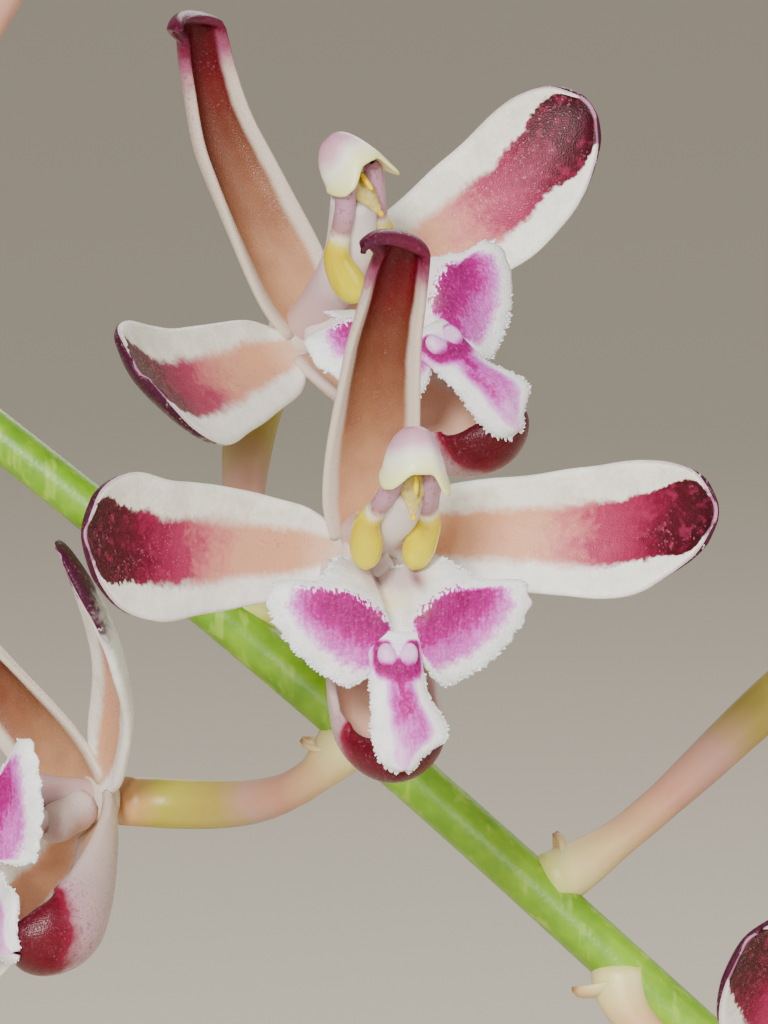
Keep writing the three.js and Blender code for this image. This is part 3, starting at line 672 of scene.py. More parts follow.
lip = {
    "centre": -1.5,
    "reach": [(-90, 0.66), (-65, 0.72), (-59, 1.2), (-53, 1.48), (-41, 1.6), (-29, 1.77), (-17, 1.98), (-6, 2.2),
              (3, 2.4), (10, 2.48), (16, 2.38), (20, 2.02), (23, 1.7), (34, 1.52), (51, 1.4), (62, 1.15), (72, 0.95),
              (90, 0.85)],
    "ridge": [(0, -1.85), (0.24, -1.72), (0.34, -1.46), (0.58, -1.26), (0.94, -1.06), (1.32, -0.93), (1.9, -0.9),
              (2.6, -0.88)],
    "slant": 0.06,
    "forward": 3.1, "recess": 1.5, "thick": 0.16,
    "lobeLeft": [(0, -0.5), (0.13, -0.62), (0.41, -0.62), (0.6, -0.6), (0.7, -0.63), (0.82, -0.55), (0.9, -0.48),
                 (0.96, -0.33), (1, -0.12)],
    "lobeRight": [(0, 0.3), (0.2, 0.33), (0.42, 0.37), (0.5, 0.46), (0.58, 0.6), (0.68, 0.72), (0.76, 0.72),
                  (0.8, 0.62), (0.84, 0.42), (0.9, 0.24), (0.96, 0.15), (1, 0.02)],
    "lobeTop": -1.75, "lobeLength": 2.46, "lobeForward": 3.12, "lobeArch": 0.34, "lobeThick": 0.2,
    "claw": [(0, -0.15, 0.3), (0, -0.45, 0.75), (0, -0.86, 1.42)],
    "clawRadius": [(0, 0), (0.05, 0.36), (0.5, 0.38), (0.9, 0.34), (1, 0)],
    "keels": [(-0.35, 0.2), (0.05, -0.2)], "keelRadii": (0.17, 0.24, 0.15), "papilla": (0.02, 0.042),
}


def aboveRidge(x, y):
    return y - straight(lip["ridge"], abs(x)) - lip["slant"] * ease(x, -0.5, 0.5) * 2 + lip["slant"]


def lipForward(x, y):
    above = aboveRidge(x, y)
    z = lip["forward"] - lip["recess"] * max(0, above) ** 1.12 - 0.13 * max(0, -above) ** 2 - 0.035 * x * x
    groove = (1 - ease(abs(x), 0.08, 0.34)) * ease(above, -0.7, 0)
    return z - 0.16 * groove + 0.035 * math.sin(5 * abs(x) - 3 * y) * ease(abs(x), 0.4, 1.2)


lipReachAt = flow(lip["reach"])


def plate(x, y):
    return Vector((x, y, lipForward(x, y)))


def lipReach(turn):
    # how far the side lobes reach from their middle, and which way x and y go; turn is -180 to 180
    side = 1 if abs(turn) <= 90 else -1
    angle = turn if side > 0 else math.copysign(180 - abs(turn), turn)
    return lipReachAt(angle), side * math.cos(math.radians(angle)), math.sin(math.radians(angle))


def lobeAt(t, w):
    # the middle lobe
    left, right = straight(lip["lobeLeft"], t), straight(lip["lobeRight"], t)
    x = left + (right - left) * (w * 0.5 + 0.5)
    wave = 0.05 * math.sin(7 * t + 2 * w) * abs(w)
    forward = lip["lobeForward"] + lip["lobeArch"] * math.sin(2.2 * t)
    return Vector((x, lip["lobeTop"] - lip["lobeLength"] * t, forward - 0.16 * w * w + wave))


def addLip(bm, seed, rays, rings, lobe, papillae):
    def start():
        part = bmesh.new()
        return part, {name: part.verts.layers.float.new(name) for name in (*lipMarks, "outer")}

    def note(v, marks, x, y, edge):
        v[marks["above"]] = aboveRidge(x, y)
        v[marks["beside"]] = abs(x)
        v[marks["edge"]] = edge
        v[marks["throat"]] = ease(y, -1.35, -0.75) * (1 - ease(abs(x), 0.35, 0.9))
        v[marks["spot"]] = 0.8 * math.exp(-((abs(x - 0.22) - 0.25) / 0.1) ** 2 - ((y + 0.84) / 0.2) ** 2)
        v[marks["cream"]] = 0.9 * math.exp(-(x / 0.3) ** 2 - ((y + 1.25) / 0.2) ** 2)

    # the two side lobes as one plate: angle across, distance outwards
    part, marks = start()
    fronts, faces = patch(part, rays, rings)
    backs = [g for g in bmesh.ops.extrude_face_region(part, geom=faces, use_keep_orig=True)["geom"]
             if isinstance(g, bmesh.types.BMVert)]
    for verts, face in ((fronts, 1), (backs, -1)):
        for v in verts:
            turn = v.co.x * 180
            share = (v.co.y * 0.5 + 0.5) ** 0.85
            whole, right, up = lipReach(turn)
            frill = 0.03 * math.sin(math.radians(turn) * 41 + seed)
            frill += 0.09 * noise.noise(Vector((8 * right, 8 * up, seed)))
            reach = share * (whole + frill * ease(abs(turn - 90), 12, 40) * ease(abs(turn + 90), 16, 40))
            x, y = reach * right, lip["centre"] + reach * up
            normal = (plate(x + 0.01, y) - plate(x - 0.01, y)).cross(plate(x, y + 0.01) - plate(x, y - 0.01))
            half = lip["thick"] / 2 * (0.3 + 0.7 * math.sqrt(max(0, 1 - share ** 8)))
            v.co = plate(x, y) + normal.normalized() * half * face
            note(v, marks, x, y, (1 - share) * whole)
    bmesh.ops.remove_doubles(part, verts=part.verts[:], dist=1e-4)
    join(bm, part)

    part, marks = start()
    addSheet(part, lobeAt, lobe, lobe, lip["lobeThick"])
    for v in part.verts:
        t = (lip["lobeTop"] - v.co.y) / lip["lobeLength"]
        left, right = straight(lip["lobeLeft"], t), straight(lip["lobeRight"], t)
        inside = 1 - abs((v.co.x - left) / max(0.01, right - left) * 2 - 1)
        v[marks["above"]] = 1
        soft = 0.62 * ease(inside, 0.08, 0.7) * (1 - 0.4 * ease(t, 0.6, 1)) * ease(t, 0.2, 0.3)
        foot = 0.3 + 0.1 * inside
        flanks = ease(t, 0.02, 0.08) * (1 - ease(t, foot - 0.1, foot + 0.1)) * (0.4 + 0.6 * ease(inside, 0, 0.2))
        flanks *= 1 - 0.7 * ease(inside, 0.5, 0.8) * (1 - ease(t, 0.14, 0.22))
        streak = 0.8 * ease(inside, 0.66, 0.95) * ease(t, 0.2, 0.3) * (1 - ease(t, 0.4, 0.66))
        v[marks["band"]] = max(soft, streak, flanks)
    join(bm, part)

    part, marks = start()
    addTube(part, lineThrough(lip["claw"]), flow(lip["clawRadius"]), max(8, lobe // 2), lobe // 2)
    for v in part.verts:
        v[marks["above"]], v[marks["throat"]] = 1, 1
    join(bm, part)

    part, marks = start()
    for x, lean in lip["keels"]:
        addBall(part, (x, -2.16, 3.3), lip["keelRadii"], 3 if papillae else 1, Matrix.Rotation(lean, 3, "Z"))
    for v in part.verts:
        v[marks["above"]] = 1
        v[marks["band"]] = 0.38 + 0.4 * ease(-v.co.y, 2.2, 2.36)
    join(bm, part)

    # tiny papillae along the frilled edges
    part, marks = start()
    draw = random.Random(seed + 11)
    cone = dict(cap_ends=True, segments=4, radius1=1, radius2=0.35, depth=2.4)
    cones = repeats(part, bmesh.ops.create_cone(part, **cone)["verts"], papillae) if papillae else []
    for k, verts in enumerate(cones):
        if k % 3:
            turn = draw.choice((-180, -76, 14, 104)) + draw.uniform(0, 76 if k % 2 else 62)
            whole, right, up = lipReach(turn)
            reach = whole * draw.uniform(0.93, 1)
            place, out = plate(reach * right, lip["centre"] + reach * up), Vector((right, up, 0))
        else:
            t, w = draw.uniform(0.3, 1), draw.choice((-1, 1)) * draw.uniform(0.9, 1)
            place, out = lobeAt(t, w), Vector((math.copysign(1, w), -ease(t, 0.8, 1) * 2, 0)).normalized()
        out = (out + Vector((0, 0, draw.uniform(-0.2, 1.1)))).normalized()
        size = draw.uniform(*lip["papilla"])
        turned = out.to_track_quat("Z", "Y").to_matrix()
        for v in verts:
            v.co = place + out * size + turned @ (v.co * size)
            v[marks["above"]] = 1
    join(bm, part)
    for face in bm.faces:
        face.smooth = True


column = {
    "spine": [(0, 0.02, -0.1), (0, 0.05, 1.2), (0, 0.3, 2.4), (0, 0.98, 3.6)], "radius": 0.38,
    "top": 1.93, "hood": 0.57, "hoodForward": 3.9, "hoodTurn": 128, "hoodThick": 0.09,
    "bell": [(0, 0), (0.06, 0.3), (0.18, 0.52), (0.35, 0.7), (0.55, 0.84), (0.8, 0.96), (1, 1)],
    "apart": 0.55, "inward": (0.04, 0.2),
    "armLine": [(0.6, 0, 1.16, 4.02), (0.7, 0, 0.74, 3.5), (0.88, 0, 0.46, 3.06), (1.04, 0, 0.2, 2.74),
                (1, 0.4, -0.16, 2.56), (1, 1, -0.62, 2.46)],  # share of apart, share of inward, y, z
    "arm": [(0, 0.05), (0.03, 0.17), (0.15, 0.21), (0.38, 0.2), (0.52, 0.2), (0.66, 0.25), (0.82, 0.3), (0.93, 0.24),
            (0.98, 0.13), (1, 0.02)],
    "points": [((0, 0.32, 3.78), (0.055, 0.07, 0.055)), ((0, 0.9, 3.98), (0.055, 0.2, 0.055))],
}


def addColumn(bm, fine):
    # slots: 0 hood, 1 yellow points, 2 beak, 3 arms with their knobs, 4 body
    sides, rows = (28, 24) if fine else (8, 8)
    body = pointed(lambda s: column["radius"] + 0.05 * math.sin(2.6 * s))
    addTube(bm, lineThrough(column["spine"]), body, sides, rows, 4)
    bell = flow(column["bell"])

    def hoodAt(t, w):
        angle = math.radians(column["hoodTurn"]) * w
        bulge = bell(t)
        front = 1.08 - 0.26 * ease(abs(w), 0.12, 0.46) + 0.3 * ease(abs(w), 0.55, 1)
        front -= 0.12 * ease(w, 0.15, 0.4) * (1 - ease(w, 0.5, 0.8))
        y = column["top"] - (column["top"] - front) * t ** 1.1
        flare = 0.06 * ease(t, 0.8, 1) * ease(abs(w), 0.25, 0.5)
        z = math.cos(angle) * (column["hood"] * 0.95 * bulge + 0.3 * flare) - 0.35 * t * (1 - bulge)
        return Vector((math.sin(angle) * (column["hood"] * bulge + flare), y, column["hoodForward"] + z))

    addSheet(bm, hoodAt, rows, 2 * sides, column["hoodThick"], flip=-1)
    thick = flow(column["arm"])
    for side in (-1, 1):
        tuck = column["inward"][side > 0]
        arm = lineThrough([(side * (share * column["apart"] - bent * tuck), y, z)
                           for share, bent, y, z in column["armLine"]])
        addTube(bm, arm, thick, sides, 2 * rows, 3, lambda s, a: 1 + 0.12 * (1 - ease(s, 0.4, 0.6)) * math.cos(2 * a))

    def beakAt(t, w):
        half = 0.36 * (1 - t) + 0.03
        return Vector((half * w, 1.12 - 0.78 * t, 3.86 - 0.12 * t - 0.14 * w * w * (1 - t)))
    addSheet(bm, beakAt, *((10, 8) if fine else (3, 2)), 0.14, material=2)
    for middle, radii in column["points"]:
        addBall(bm, middle, radii, 2 if fine else 1, None, 1)


# where the blooms, buds and branches sit: the same numbers as the solids' own

spike = {
    "line": [(24, -12, 66), (24.6, -13, 90), (24.8, -16, 125), (20.5, -22.5, 165), (10, -30, 199),
             (-4, -34, 225.5), (-15, -35.6, 236.6), (-23.8, -35.9, 244.8), (-29.9, -35.1, 250.2),
             (-36.8, -34.3, 255.8), (-44, -33, 261), (-51, -31.5, 265)],
    "foot": 1.25, "tip": 0.38, "branchFoot": 0.62, "branchTip": 0.36, "sides": 20, "along": 260,
}
branches = [
    {"from": 0.36, "line": [(39, -22, 162), (54, -27, 184), (62, -27, 193)]},
    {"from": 0.47, "line": [(14, -6, 184), (3, 10, 203), (-8, 20, 211)]},
    {"from": 0.6, "line": [(26, -30, 216), (40, -26, 232), (50, -22, 238)]},
]
nearBlooms = [
    {"at": (-1.09, 3.93, 12), "face": (0.42, 0.46, -0.78), "top": (-0.58, 0.8, 0.16), "size": 1.08,
     "stem": 0.8985, "leave": (0, 0.7, 0.7)},
    {"at": (-5.05, -5.1, 11), "face": (-0.85, 0.05, -0.52), "top": (-0.2, 0.66, 0.7), "size": 1,
     "stem": 0.8868, "leave": (-0.5, -0.8, 0.2)},
    {"at": (10.6, -1.3, 9.5), "face": (0.8, 0.45, -0.4), "top": (-0.3, 0.85, 0), "size": 1,
     "stem": 0.8668, "leave": (0.88, 0.42, 0.2)},
    {"at": (10.2, -11.2, 4.6), "face": (0.3, -0.05, -0.95), "top": (0.66, 0.73, 0.16), "size": 1,
     "stem": 0.8575, "leave": (-0.1, -0.95, -0.3)},
    {"at": (-0.6, 14.8, 9.5), "face": (0.75, -0.1, -0.65), "top": (0.2, 0.9, 0.3), "size": 1,
     "stem": 0.94, "leave": (0.3, 0.8, 0.4)},
]
branchBlooms = [(0, 0.52, 20, 9), (0, 0.78, 200, 9), (0, 0.97, 90, 8), (1, 0.55, 160, 9), (1, 0.85, 20, 9),
                (2, 0.45, 110, 9), (2, 0.72, 300, 9), (2, 0.97, 60, 8)]
buds = [(-1, 0.962, 150, 5, 1.25), (-1, 0.985, 330, 4, 1), (0, 0.9, 320, 5.5, 1.3), (1, 0.99, 240, 5, 1.2),
        (1, 0.7, 280, 6, 1.35), (2, 0.88, 200, 5, 1.2)]
heroPlace = {"at": Vector((-30, -42, 255)), "look": math.radians(8), "turn": math.radians(15.5), "stem": 0.8815}

spikeLine = lineThrough(spike["line"])
branchLines = [lineThrough([spikeLine(b["from"])[0]] + b["line"]) for b in branches]


def seen(triple):
    # right, up and back as seen from in front of the hero bloom, a little above the level
    right, up, back = triple
    tilt = heroPlace["look"]
    return Vector((right, up * math.sin(tilt) + back * math.cos(tilt), up * math.cos(tilt) - back * math.sin(tilt)))


def bloomFrame(middle, face, top, size=1):
    forward = face.normalized()
    right = top.cross(forward).normalized()
    up = forward.cross(right)
    turned = Matrix((right * size, up * size, forward * size)).transposed().to_4x4()
    return Matrix.Translation(middle) @ turned


def roundLine(lineAt, share, degrees, lean):
    ahead = lineAt(share)[1]
    up = (Vector((0, 0, 1)) - ahead * ahead.z).normalized()
    side = ahead.cross(up)
    turn = flatWay(degrees)
    return (up * turn.x + side * turn.y + ahead * lean).normalized()


def bloomPlaces():
    turn = heroPlace["turn"]
    face = seen((math.sin(turn), 0, -math.cos(turn)))
    places = [{"frame": bloomFrame(heroPlace["at"], face, seen((0, 1, 0))), "line": spikeLine,
               "stem": heroPlace["stem"], "leave": seen((0.1, 0.3, 0.9)), "size": 1}]
    for spec in nearBlooms:
        middle = heroPlace["at"] + seen(spec["at"])
        places.append({"frame": bloomFrame(middle, seen(spec["face"]), seen(spec["top"]), spec["size"]),
                       "line": spikeLine, "stem": spec["stem"], "leave": seen(spec["leave"]), "size": spec["size"]})
    for branch, share, degrees, reach in branchBlooms:
        lineAt = branchLines[branch]
        out = roundLine(lineAt, share, degrees, 0.7)
        middle = lineAt(share)[0] + out * reach
        places.append({"frame": bloomFrame(middle, out + Vector((0, -0.35, 0.1)), Vector((0, 0, 1))),
                       "line": lineAt, "stem": share, "leave": out, "size": 1})
    return places


places = bloomPlaces()


# the blooms

# shape by seed, its dictionary, which way its front faces, its skin
tepalKinds = {
    "left": (lambda seed: petalAt(-1, seed), petal, -1, 0),
    "right": (lambda seed: petalAt(1, seed + 1), petal, 1, 0),
    "dorsal": (lambda seed: dorsalAt(seed + 2), dorsal, -1, 1),
    "lateral": (lambda seed: lateralAt(seed + 3), lateral, 1, 2),
}
# faces along and across a tepal, detail of the heart, lip as rays, rings, lobe and papillae
heroMesh = {"tepal": (110, 56), "heart": 3, "lip": (260, 44, 44, 2600)}
nearMesh = {"tepal": (56, 26), "heart": 3, "lip": (130, 22, 22, 900)}
farMesh = {"tepal": (24, 10), "heart": 2, "lip": (56, 8, 8, 0)}


def addTepal(bm, kind, seed, length, across):
    shapeOf, spec, flip, material = tepalKinds[kind]
    part = bmesh.new()
    blush = part.verts.layers.float.new("blush")
    addSheet(part, shapeOf(seed), length, across, spec["thick"], flip=flip, crowd=1.25, material=material)
    shift = petal["blush"][kind == "right"] + 0.08 * noise.noise(Vector((seed * 1.3, 2.7, 0)))
    for v in part.verts:
        v[blush] = shift
    join(bm, part)


def addHeart(bm, detail):
    # the knot where the tepals meet
    addBall(bm, (0, 0, -0.05), (0.62, 0.62, 0.36), detail, None, 1)


tepalSkins = [petalSkin, dorsalSkin, lateralSkin]


def makeHero():
    where = places[0]["frame"]
    for kind, name, node in (("left", "petalLeft", "petal_left"), ("right", "petalRight", "petal_right"),
                             ("dorsal", "dorsalSepal", "dorsal_sepal"), ("lateral", "lateralSepals", "lateral_sepals")):
        bm = bmesh.new()
        addTepal(bm, kind, 0, *heroMesh["tepal"])
        if kind == "dorsal":
            addHeart(bm, heroMesh["heart"])
        bm.transform(where)
        slot = "petal" if kind in ("left", "right") else "sepal"
        piece("heroBloom." + name, bm, tepalSkins, slot, "bloom_01_" + node)
    bm = bmesh.new()
    addLip(bm, 3, *heroMesh["lip"])
    bm.transform(where)
    piece("heroBloom.lip", bm, [lipSkin], "lip", "bloom_01_lip")
    bm = bmesh.new()
    addColumn(bm, True)
    bm.transform(where)
    piece("heroBloom.column", bm, columnSkins, "column", "bloom_01_column")


def makeOtherBlooms():
    for number, place in enumerate(places[1:], 2):
        near = number <= 1 + len(nearBlooms)
        made = nearMesh if near else farMesh
        seed = number * 13
        bm = bmesh.new()
        for kind in ("left", "right", "dorsal", "lateral"):
            addTepal(bm, kind, seed, *made["tepal"])
        addHeart(bm, made["heart"])
        bm.transform(place["frame"])
        piece(f"bloom{number:02d}.tepals", bm, tepalSkins, "petal", f"bloom_{number:02d}_tepals")
        bm = bmesh.new()
        addLip(bm, seed, *made["lip"])
        part = bmesh.new()
        addColumn(part, near)
        for face in part.faces:
            face.material_index += 1
        join(bm, part)
        bm.transform(place["frame"])
        piece(f"bloom{number:02d}.lip", bm, [lipSkin] + columnSkins, "lip", f"bloom_{number:02d}_lip")


makeHero()
print("hero bloom made")
makeOtherBlooms()
print("other blooms made")


# stem, stalks, buds and bracts

def makeStemSkins():
    stem, principled, where = startMaterial("stemSkin", 0.38, Subsurface_Weight=0.15, Subsurface_Scale=0.0006)
    base = blend(mottle(where, 500), (92, 142, 0), (130, 176, 6))
    streaks = cloud(stretch(where, 1, 1, 0.12), 4000, 2)
    base = blend(fade(streaks, 0.55, 0.7, 0, 0.35), base, (186, 212, 84))
    feel(principled, base, cells(where, 0.00009)[0], 0.35, 0.00001)

    stalk = rampSkin("stalkSkin", [
        (0, (196, 204, 96)), (0.06, (226, 210, 146)), (0.18, (214, 178, 128)), (0.34, (196, 140, 116)),
        (0.48, (190, 146, 128)), (0.6, (170, 150, 70)), (0.85, (166, 158, 50)), (1, (206, 150, 104)),
    ], (900, 0.16), 0.00008, (0.35, 0.00001), 0.42, Subsurface_Weight=0.2, Subsurface_Scale=0.0005)
    bud = rampSkin("budSkin", [
        (0, (190, 200, 90)), (0.5, (196, 196, 120)), (0.75, (214, 190, 160)), (0.92, (150, 60, 84)),
        (1, (110, 20, 50)),
    ], (1400, 0.25), 0.00008, (0.35, 0.00001), Subsurface_Weight=0.2, Subsurface_Scale=0.0005)
    bract = rampSkin("bractSkin", [(0, (206, 210, 120)), (0.5, (224, 206, 150)), (1, (190, 150, 100))],
                     (1400, 0), 0.00008, (0.35, 0.00001), 0.55, Subsurface_Weight=0.2, Subsurface_Scale=0.0004)
    return [stem, stalk, bud, bract]


stalk = {"radius": 0.36, "ovary": 0.5, "foot": 0.2, "seat": 0.44, "ribs": 6, "sides": 18, "along": 40}


def addBract(bm, lineAt, share, out, length, half):
    start, ahead = lineAt(share)
    side = ahead.cross(out).normalized()

    def at(t, w):
        width = half * math.sqrt(max(0, 1 - t ** 1.6))
        return start + out * t * length + side * w * width + ahead * (0.25 * half * (1 - w * w) - 0.35 * length * t * t)
    addSheet(bm, at, 8, 6, 0.16, material=3)


def addStalk(bm, place):
    start, ahead = place["line"](place["stem"])
    face = place["frame"].col[2].to_3d().normalized()
    end = place["frame"].translation - face * stalk["seat"] * place["size"]
    away = (end - start).length
    path = bezier(start, start + place["leave"].normalized() * 0.35 * away, end - face * 0.42 * away, end)

    def radius(s):
        swell = stalk["foot"] * ease(s, 0.24, 0.02)
        ovary = (stalk["ovary"] - stalk["radius"]) * math.sin(math.pi * max(0, s - 0.35))
        return stalk["radius"] + swell + ovary

    addTube(bm, path, pointed(radius), stalk["sides"], stalk["along"], 1,
            lambda s, a: 1 + 0.05 * ease(s, 0.45, 0.6) * math.cos(stalk["ribs"] * a))
    addBract(bm, path, 0.04, (ahead * 0.8 + place["leave"]).normalized(), 1.1, 0.42)


def makeSpike():
    bm = bmesh.new()
    taper = pointed(lambda s: spike["foot"] + (spike["tip"] - spike["foot"]) * s ** 0.8)
    addTube(bm, spikeLine, taper, spike["sides"], spike["along"], 0, lambda s, a: 1 + 0.02 * math.cos(5 * a + 9 * s))
    taper = pointed(lambda s: spike["branchFoot"] + (spike["branchTip"] - spike["branchFoot"]) * s)
    for branch, lineAt in zip(branches, branchLines):
        addTube(bm, lineAt, taper, 16, 60)
        share = branch["from"]
        addBract(bm, spikeLine, share, roundLine(spikeLine, share, 180, 1.1), 6, 1)
    for place in places:
        addStalk(bm, place)
    for branch, share, degrees, reach, size in buds:
        lineAt = spikeLine if branch < 0 else branchLines[branch]
        start = lineAt(share)[0]
        out = roundLine(lineAt, share, degrees, 0.9)
        whole = reach + 2.6 * size
        end = start + out * whole
        middle = start.lerp(end, 0.5) - Vector((0, 0, 0.4))
        neck = reach / whole

        def radius(s, neck=neck, size=size):
            if s < neck:
                return stalk["radius"] + 0.16 * ease(s, 0.2, 0.02)
            return 0.34 + (size - 0.34) * math.sin(math.pi * (s - neck) / (1 - neck)) ** 0.8
        addTube(bm, lineThrough([start, middle, end]), pointed(radius), stalk["sides"], 36, 2,
                lambda s, a, neck=neck: 1 + 0.06 * ease(s, neck, neck + 0.2) * math.cos(3 * a))
        addBract(bm, lineAt, share, roundLine(lineAt, share, degrees, 0.4), 1.5, 0.5)
    piece("flowerSpike", bm, makeStemSkins(), "stem", "flower_spike")


makeSpike()
print("spike made")


# bulbs with their sheaths

bulbs = [
    {"at": (18, 3), "height": 40, "radius": 9.6, "leaves": [(12, 128, 58), (96, 118, 52), (182, 112, 26)]},
    {"at": (-4, -6), "height": 38, "radius": 9.2, "leaves": [(-138, 108, 74), (-48, 94, 92)]},
    {"at": (-23, -14), "height": 31, "radius": 8.2, "leaves": [(182, 100, 84), (272, 84, 96)]},
    {"at": (-5, 17), "height": 35, "radius": 8.8, "leaves": [(48, 112, 74), (150, 106, 66)]},
    {"at": (-25, 8), "height": 29, "radius": 8, "leaves": []},
]
bulb = {"foot": 73, "ribs": 9, "depth": 0.05, "around": 108, "along": 64,
        "profile": [(0, 0), (0.004, 0.5), (0.08, 0.74), (0.2, 0.93), (0.36, 1), (0.52, 0.94), (0.68, 0.76),
                    (0.82, 0.52), (0.93, 0.34), (0.99, 0.27), (1, 0)]}
sheath = {"tops": (0.56, 0.42, 0.3), "sweep": (3.2, 5.2), "gap": 0.2, "gapStep": 0.26, "thick": 0.16,
          "along": 18, "across": 52}
collar = {"radius": 2.75, "flare": 0.75, "sink": 1.6, "height": 5.2, "thick": 0.2, "along": 14, "across": 48}


def makeBulbSkin():
    material, principled, where = startMaterial("bulbSkin", 0.48, Subsurface_Weight=0.08, Subsurface_Scale=0.002)
    t = surfacePlace(where)[0]
    base = blend(mottle(where, 60), (104, 128, 52), (148, 162, 82))
    lines = cloud(stretch(where, 1, 1, 0.1), 700, 3)
    base = blend(fade(lines, 0.5, 0.72, 0, 0.5), base, (176, 176, 112))
    scars = fade(cloud(where, 130, 5), 0.62, 0.72)
    base = blend(calc("MULTIPLY", scars, 0.6), base, (122, 92, 52))
    base = blend(fade(t, 0.16, 0), base, (112, 84, 50))
    base = blend(fade(t, 0.9, 1), base, (132, 104, 62))
    height = calc("MULTIPLY_ADD", lines, 0.6, cloud(where, 1500, 3))
    feel(principled, base, height, 0.5, 0.0002, fade(scars, 0, 1, 0.38, 0.7))
    return material


def makeSheathSkin():
    material, principled, where = startMaterial("sheathSkin", 0.6, Subsurface_Weight=0.1, Subsurface_Scale=0.001)
    lines = cloud(stretch(where, 1, 1, 0.06), 2200, 3)
    base = blend(fade(lines, 0.35, 0.65), (128, 98, 62), (206, 184, 140))
    base = blend(fade(cloud(where, 160, 4), 0.45, 0.7, 0, 0.6), base, (96, 70, 44))
    feel(principled, base, lines, 0.6, 0.0002)
    return material


bulbSkin = makeBulbSkin()
sheathSkin = makeSheathSkin()


def bulbFoot(spec):
    return Vector((*spec["at"], bulb["foot"]))


def bulbRadius(spec, t):
    return spec["radius"] * along(bulb["profile"], t)


def makeBulbs():
    for number, spec in enumerate(bulbs, 1):
        bm = bmesh.new()

        def lineAt(s, foot=bulbFoot(spec), height=spec["height"]):
            return foot + Vector((0, 0, s * height)), Vector((0, 0, 1))

        def crest(s, a, number=number):
            body = ease(s, 0.02, 0.25) * ease(s, 0.98, 0.7)
            furrow = bulb["depth"] * math.cos(bulb["ribs"] * a)
            wrinkle = 0.03 * noise.noise(Vector((4.2 * math.cos(a), 4.2 * math.sin(a), s * 1.6 + number * 5)))
            crease = -0.03 * max(0, math.cos(2 * bulb["ribs"] * a + 2 * math.sin(7 * s + number))) ** 6
            return 1 + body * (furrow + wrinkle + crease)

        addTube(bm, lineAt, lambda s, spec=spec: bulbRadius(spec, s), bulb["around"], bulb["along"], 0, crest)
        piece(f"pseudobulb{number}", bm, [bulbSkin], "bulb", f"pseudobulb_{number}")


def addCollar(bm, top, seed):
    # the torn sleeve that the leaves of a bulb come out of
    def at(t, w):
        angle = math.pi * 0.985 * w
        torn = 1.5 * noise.noise(Vector((w * 6, seed, 5))) + 0.6 * noise.noise(Vector((w * 23, seed, 1)))
        size = collar["radius"] + collar["flare"] * ease(t, 0, 0.7) + 0.2 * noise.noise(Vector((w * 5, t * 2, seed)))
        rise = (collar["height"] + torn) * t - collar["sink"]
        return top + Vector((math.cos(angle) * size, math.sin(angle) * size, rise))
    addSheet(bm, at, collar["along"], collar["across"], collar["thick"], flip=-1, rim=0.5)


def makeSheaths():
    bm = bmesh.new()
    draw = random.Random(5)
    for number, spec in enumerate(bulbs):
        foot = bulbFoot(spec)
        for layer, top in enumerate(sheath["tops"]):
            first = draw.uniform(0, 6.28)
            sweep = draw.uniform(*sheath["sweep"])
            top += draw.uniform(-0.05, 0.05)
            gap = sheath["gap"] + sheath["gapStep"] * layer
            seed = number * len(sheath["tops"]) + layer

            def at(t, w, first=first, sweep=sweep, top=top, gap=gap, seed=seed, spec=spec, foot=foot):
                angle = first + sweep * 0.5 * (w + 1)
                torn = 0.16 * noise.noise(Vector((w * 5, seed, 0))) + 0.07 * noise.noise(Vector((w * 19, seed, 3)))
                share = 0.012 + t * (top + torn) * (1 - 0.55 * abs(w) ** 3)
                furrow = 1 + bulb["depth"] * math.cos(bulb["ribs"] * angle) * ease(share, 0.02, 0.25)
                curl = 1.1 * ease(t, 0.75, 1) * max(0, noise.noise(Vector((w * 4, seed, 8))) + 0.25)
                size = bulbRadius(spec, share) * furrow + gap + curl + 0.12 * noise.noise(Vector((w * 9, t * 4, seed)))
                return foot + Vector((math.cos(angle) * size, math.sin(angle) * size, share * spec["height"]))
            addSheet(bm, at, sheath["along"], sheath["across"], sheath["thick"], flip=-1, rim=0.5)
        if spec["leaves"]:
            addCollar(bm, foot + Vector((0, 0, spec["height"])), number)
    piece("bulbSheaths", bm, [sheathSkin], "bulb")


makeBulbs()
makeSheaths()
print("bulbs made")


# leaves

leaf = {"thick": 0.6, "half": 6.3, "base": 1.2, "keel": 0.3, "gap": 0.4, "apart": 2.3, "lean": 14, "pleat": 0.05,
        "along": 90, "across": 36}


def makeLeafSkin():
    material, principled, where = startMaterial("leafSkin", 0.34, Subsurface_Weight=0.1, Subsurface_Scale=0.001,
                                                Coat_Weight=0.15)
    t, signed = surfacePlace(where)
    size = calc("ABSOLUTE", signed)
    base = blend(mottle(where, 45), (58, 98, 30), (92, 134, 46))
    veins = calc("SINE", calc("MULTIPLY", signed, 46))
    wide = fade(veins, 0.3, 1)
    base = blend(calc("MULTIPLY", wide, 0.3), base, (120, 158, 66))
    rib = fade(size, 0.1, 0.03)
    base = blend(calc("MULTIPLY", rib, 0.6), base, (142, 172, 86))
    isUnder = mark(where, "outer")
    base = blend(fade(isUnder, 0.4, 0.6, 0, 0.45), base, (136, 164, 92))
    base = blend(fade(t, 0.08, 0, 0, 0.7), base, (186, 186, 110))
    dryness = calc("MULTIPLY_ADD", cloud(where, 200, 3), 0.05, t)
    base = blend(fade(dryness, 0.995, 1.03, 0, 0.85), base, (150, 116, 62))
    spots = fade(cloud(where, 420, 2), 0.7, 0.76)
    base = blend(calc("MULTIPLY", spots, 0.35), base, (150, 160, 70))
    grain = cloud(where, 2500, 2)
    height = calc("MULTIPLY_ADD", wide, 0.6, calc("MULTIPLY", grain, 0.5))
    feel(principled, base, height, 0.4, 0.00012, fade(grain, 0.3, 0.7, 0.3, 0.44))
    return material


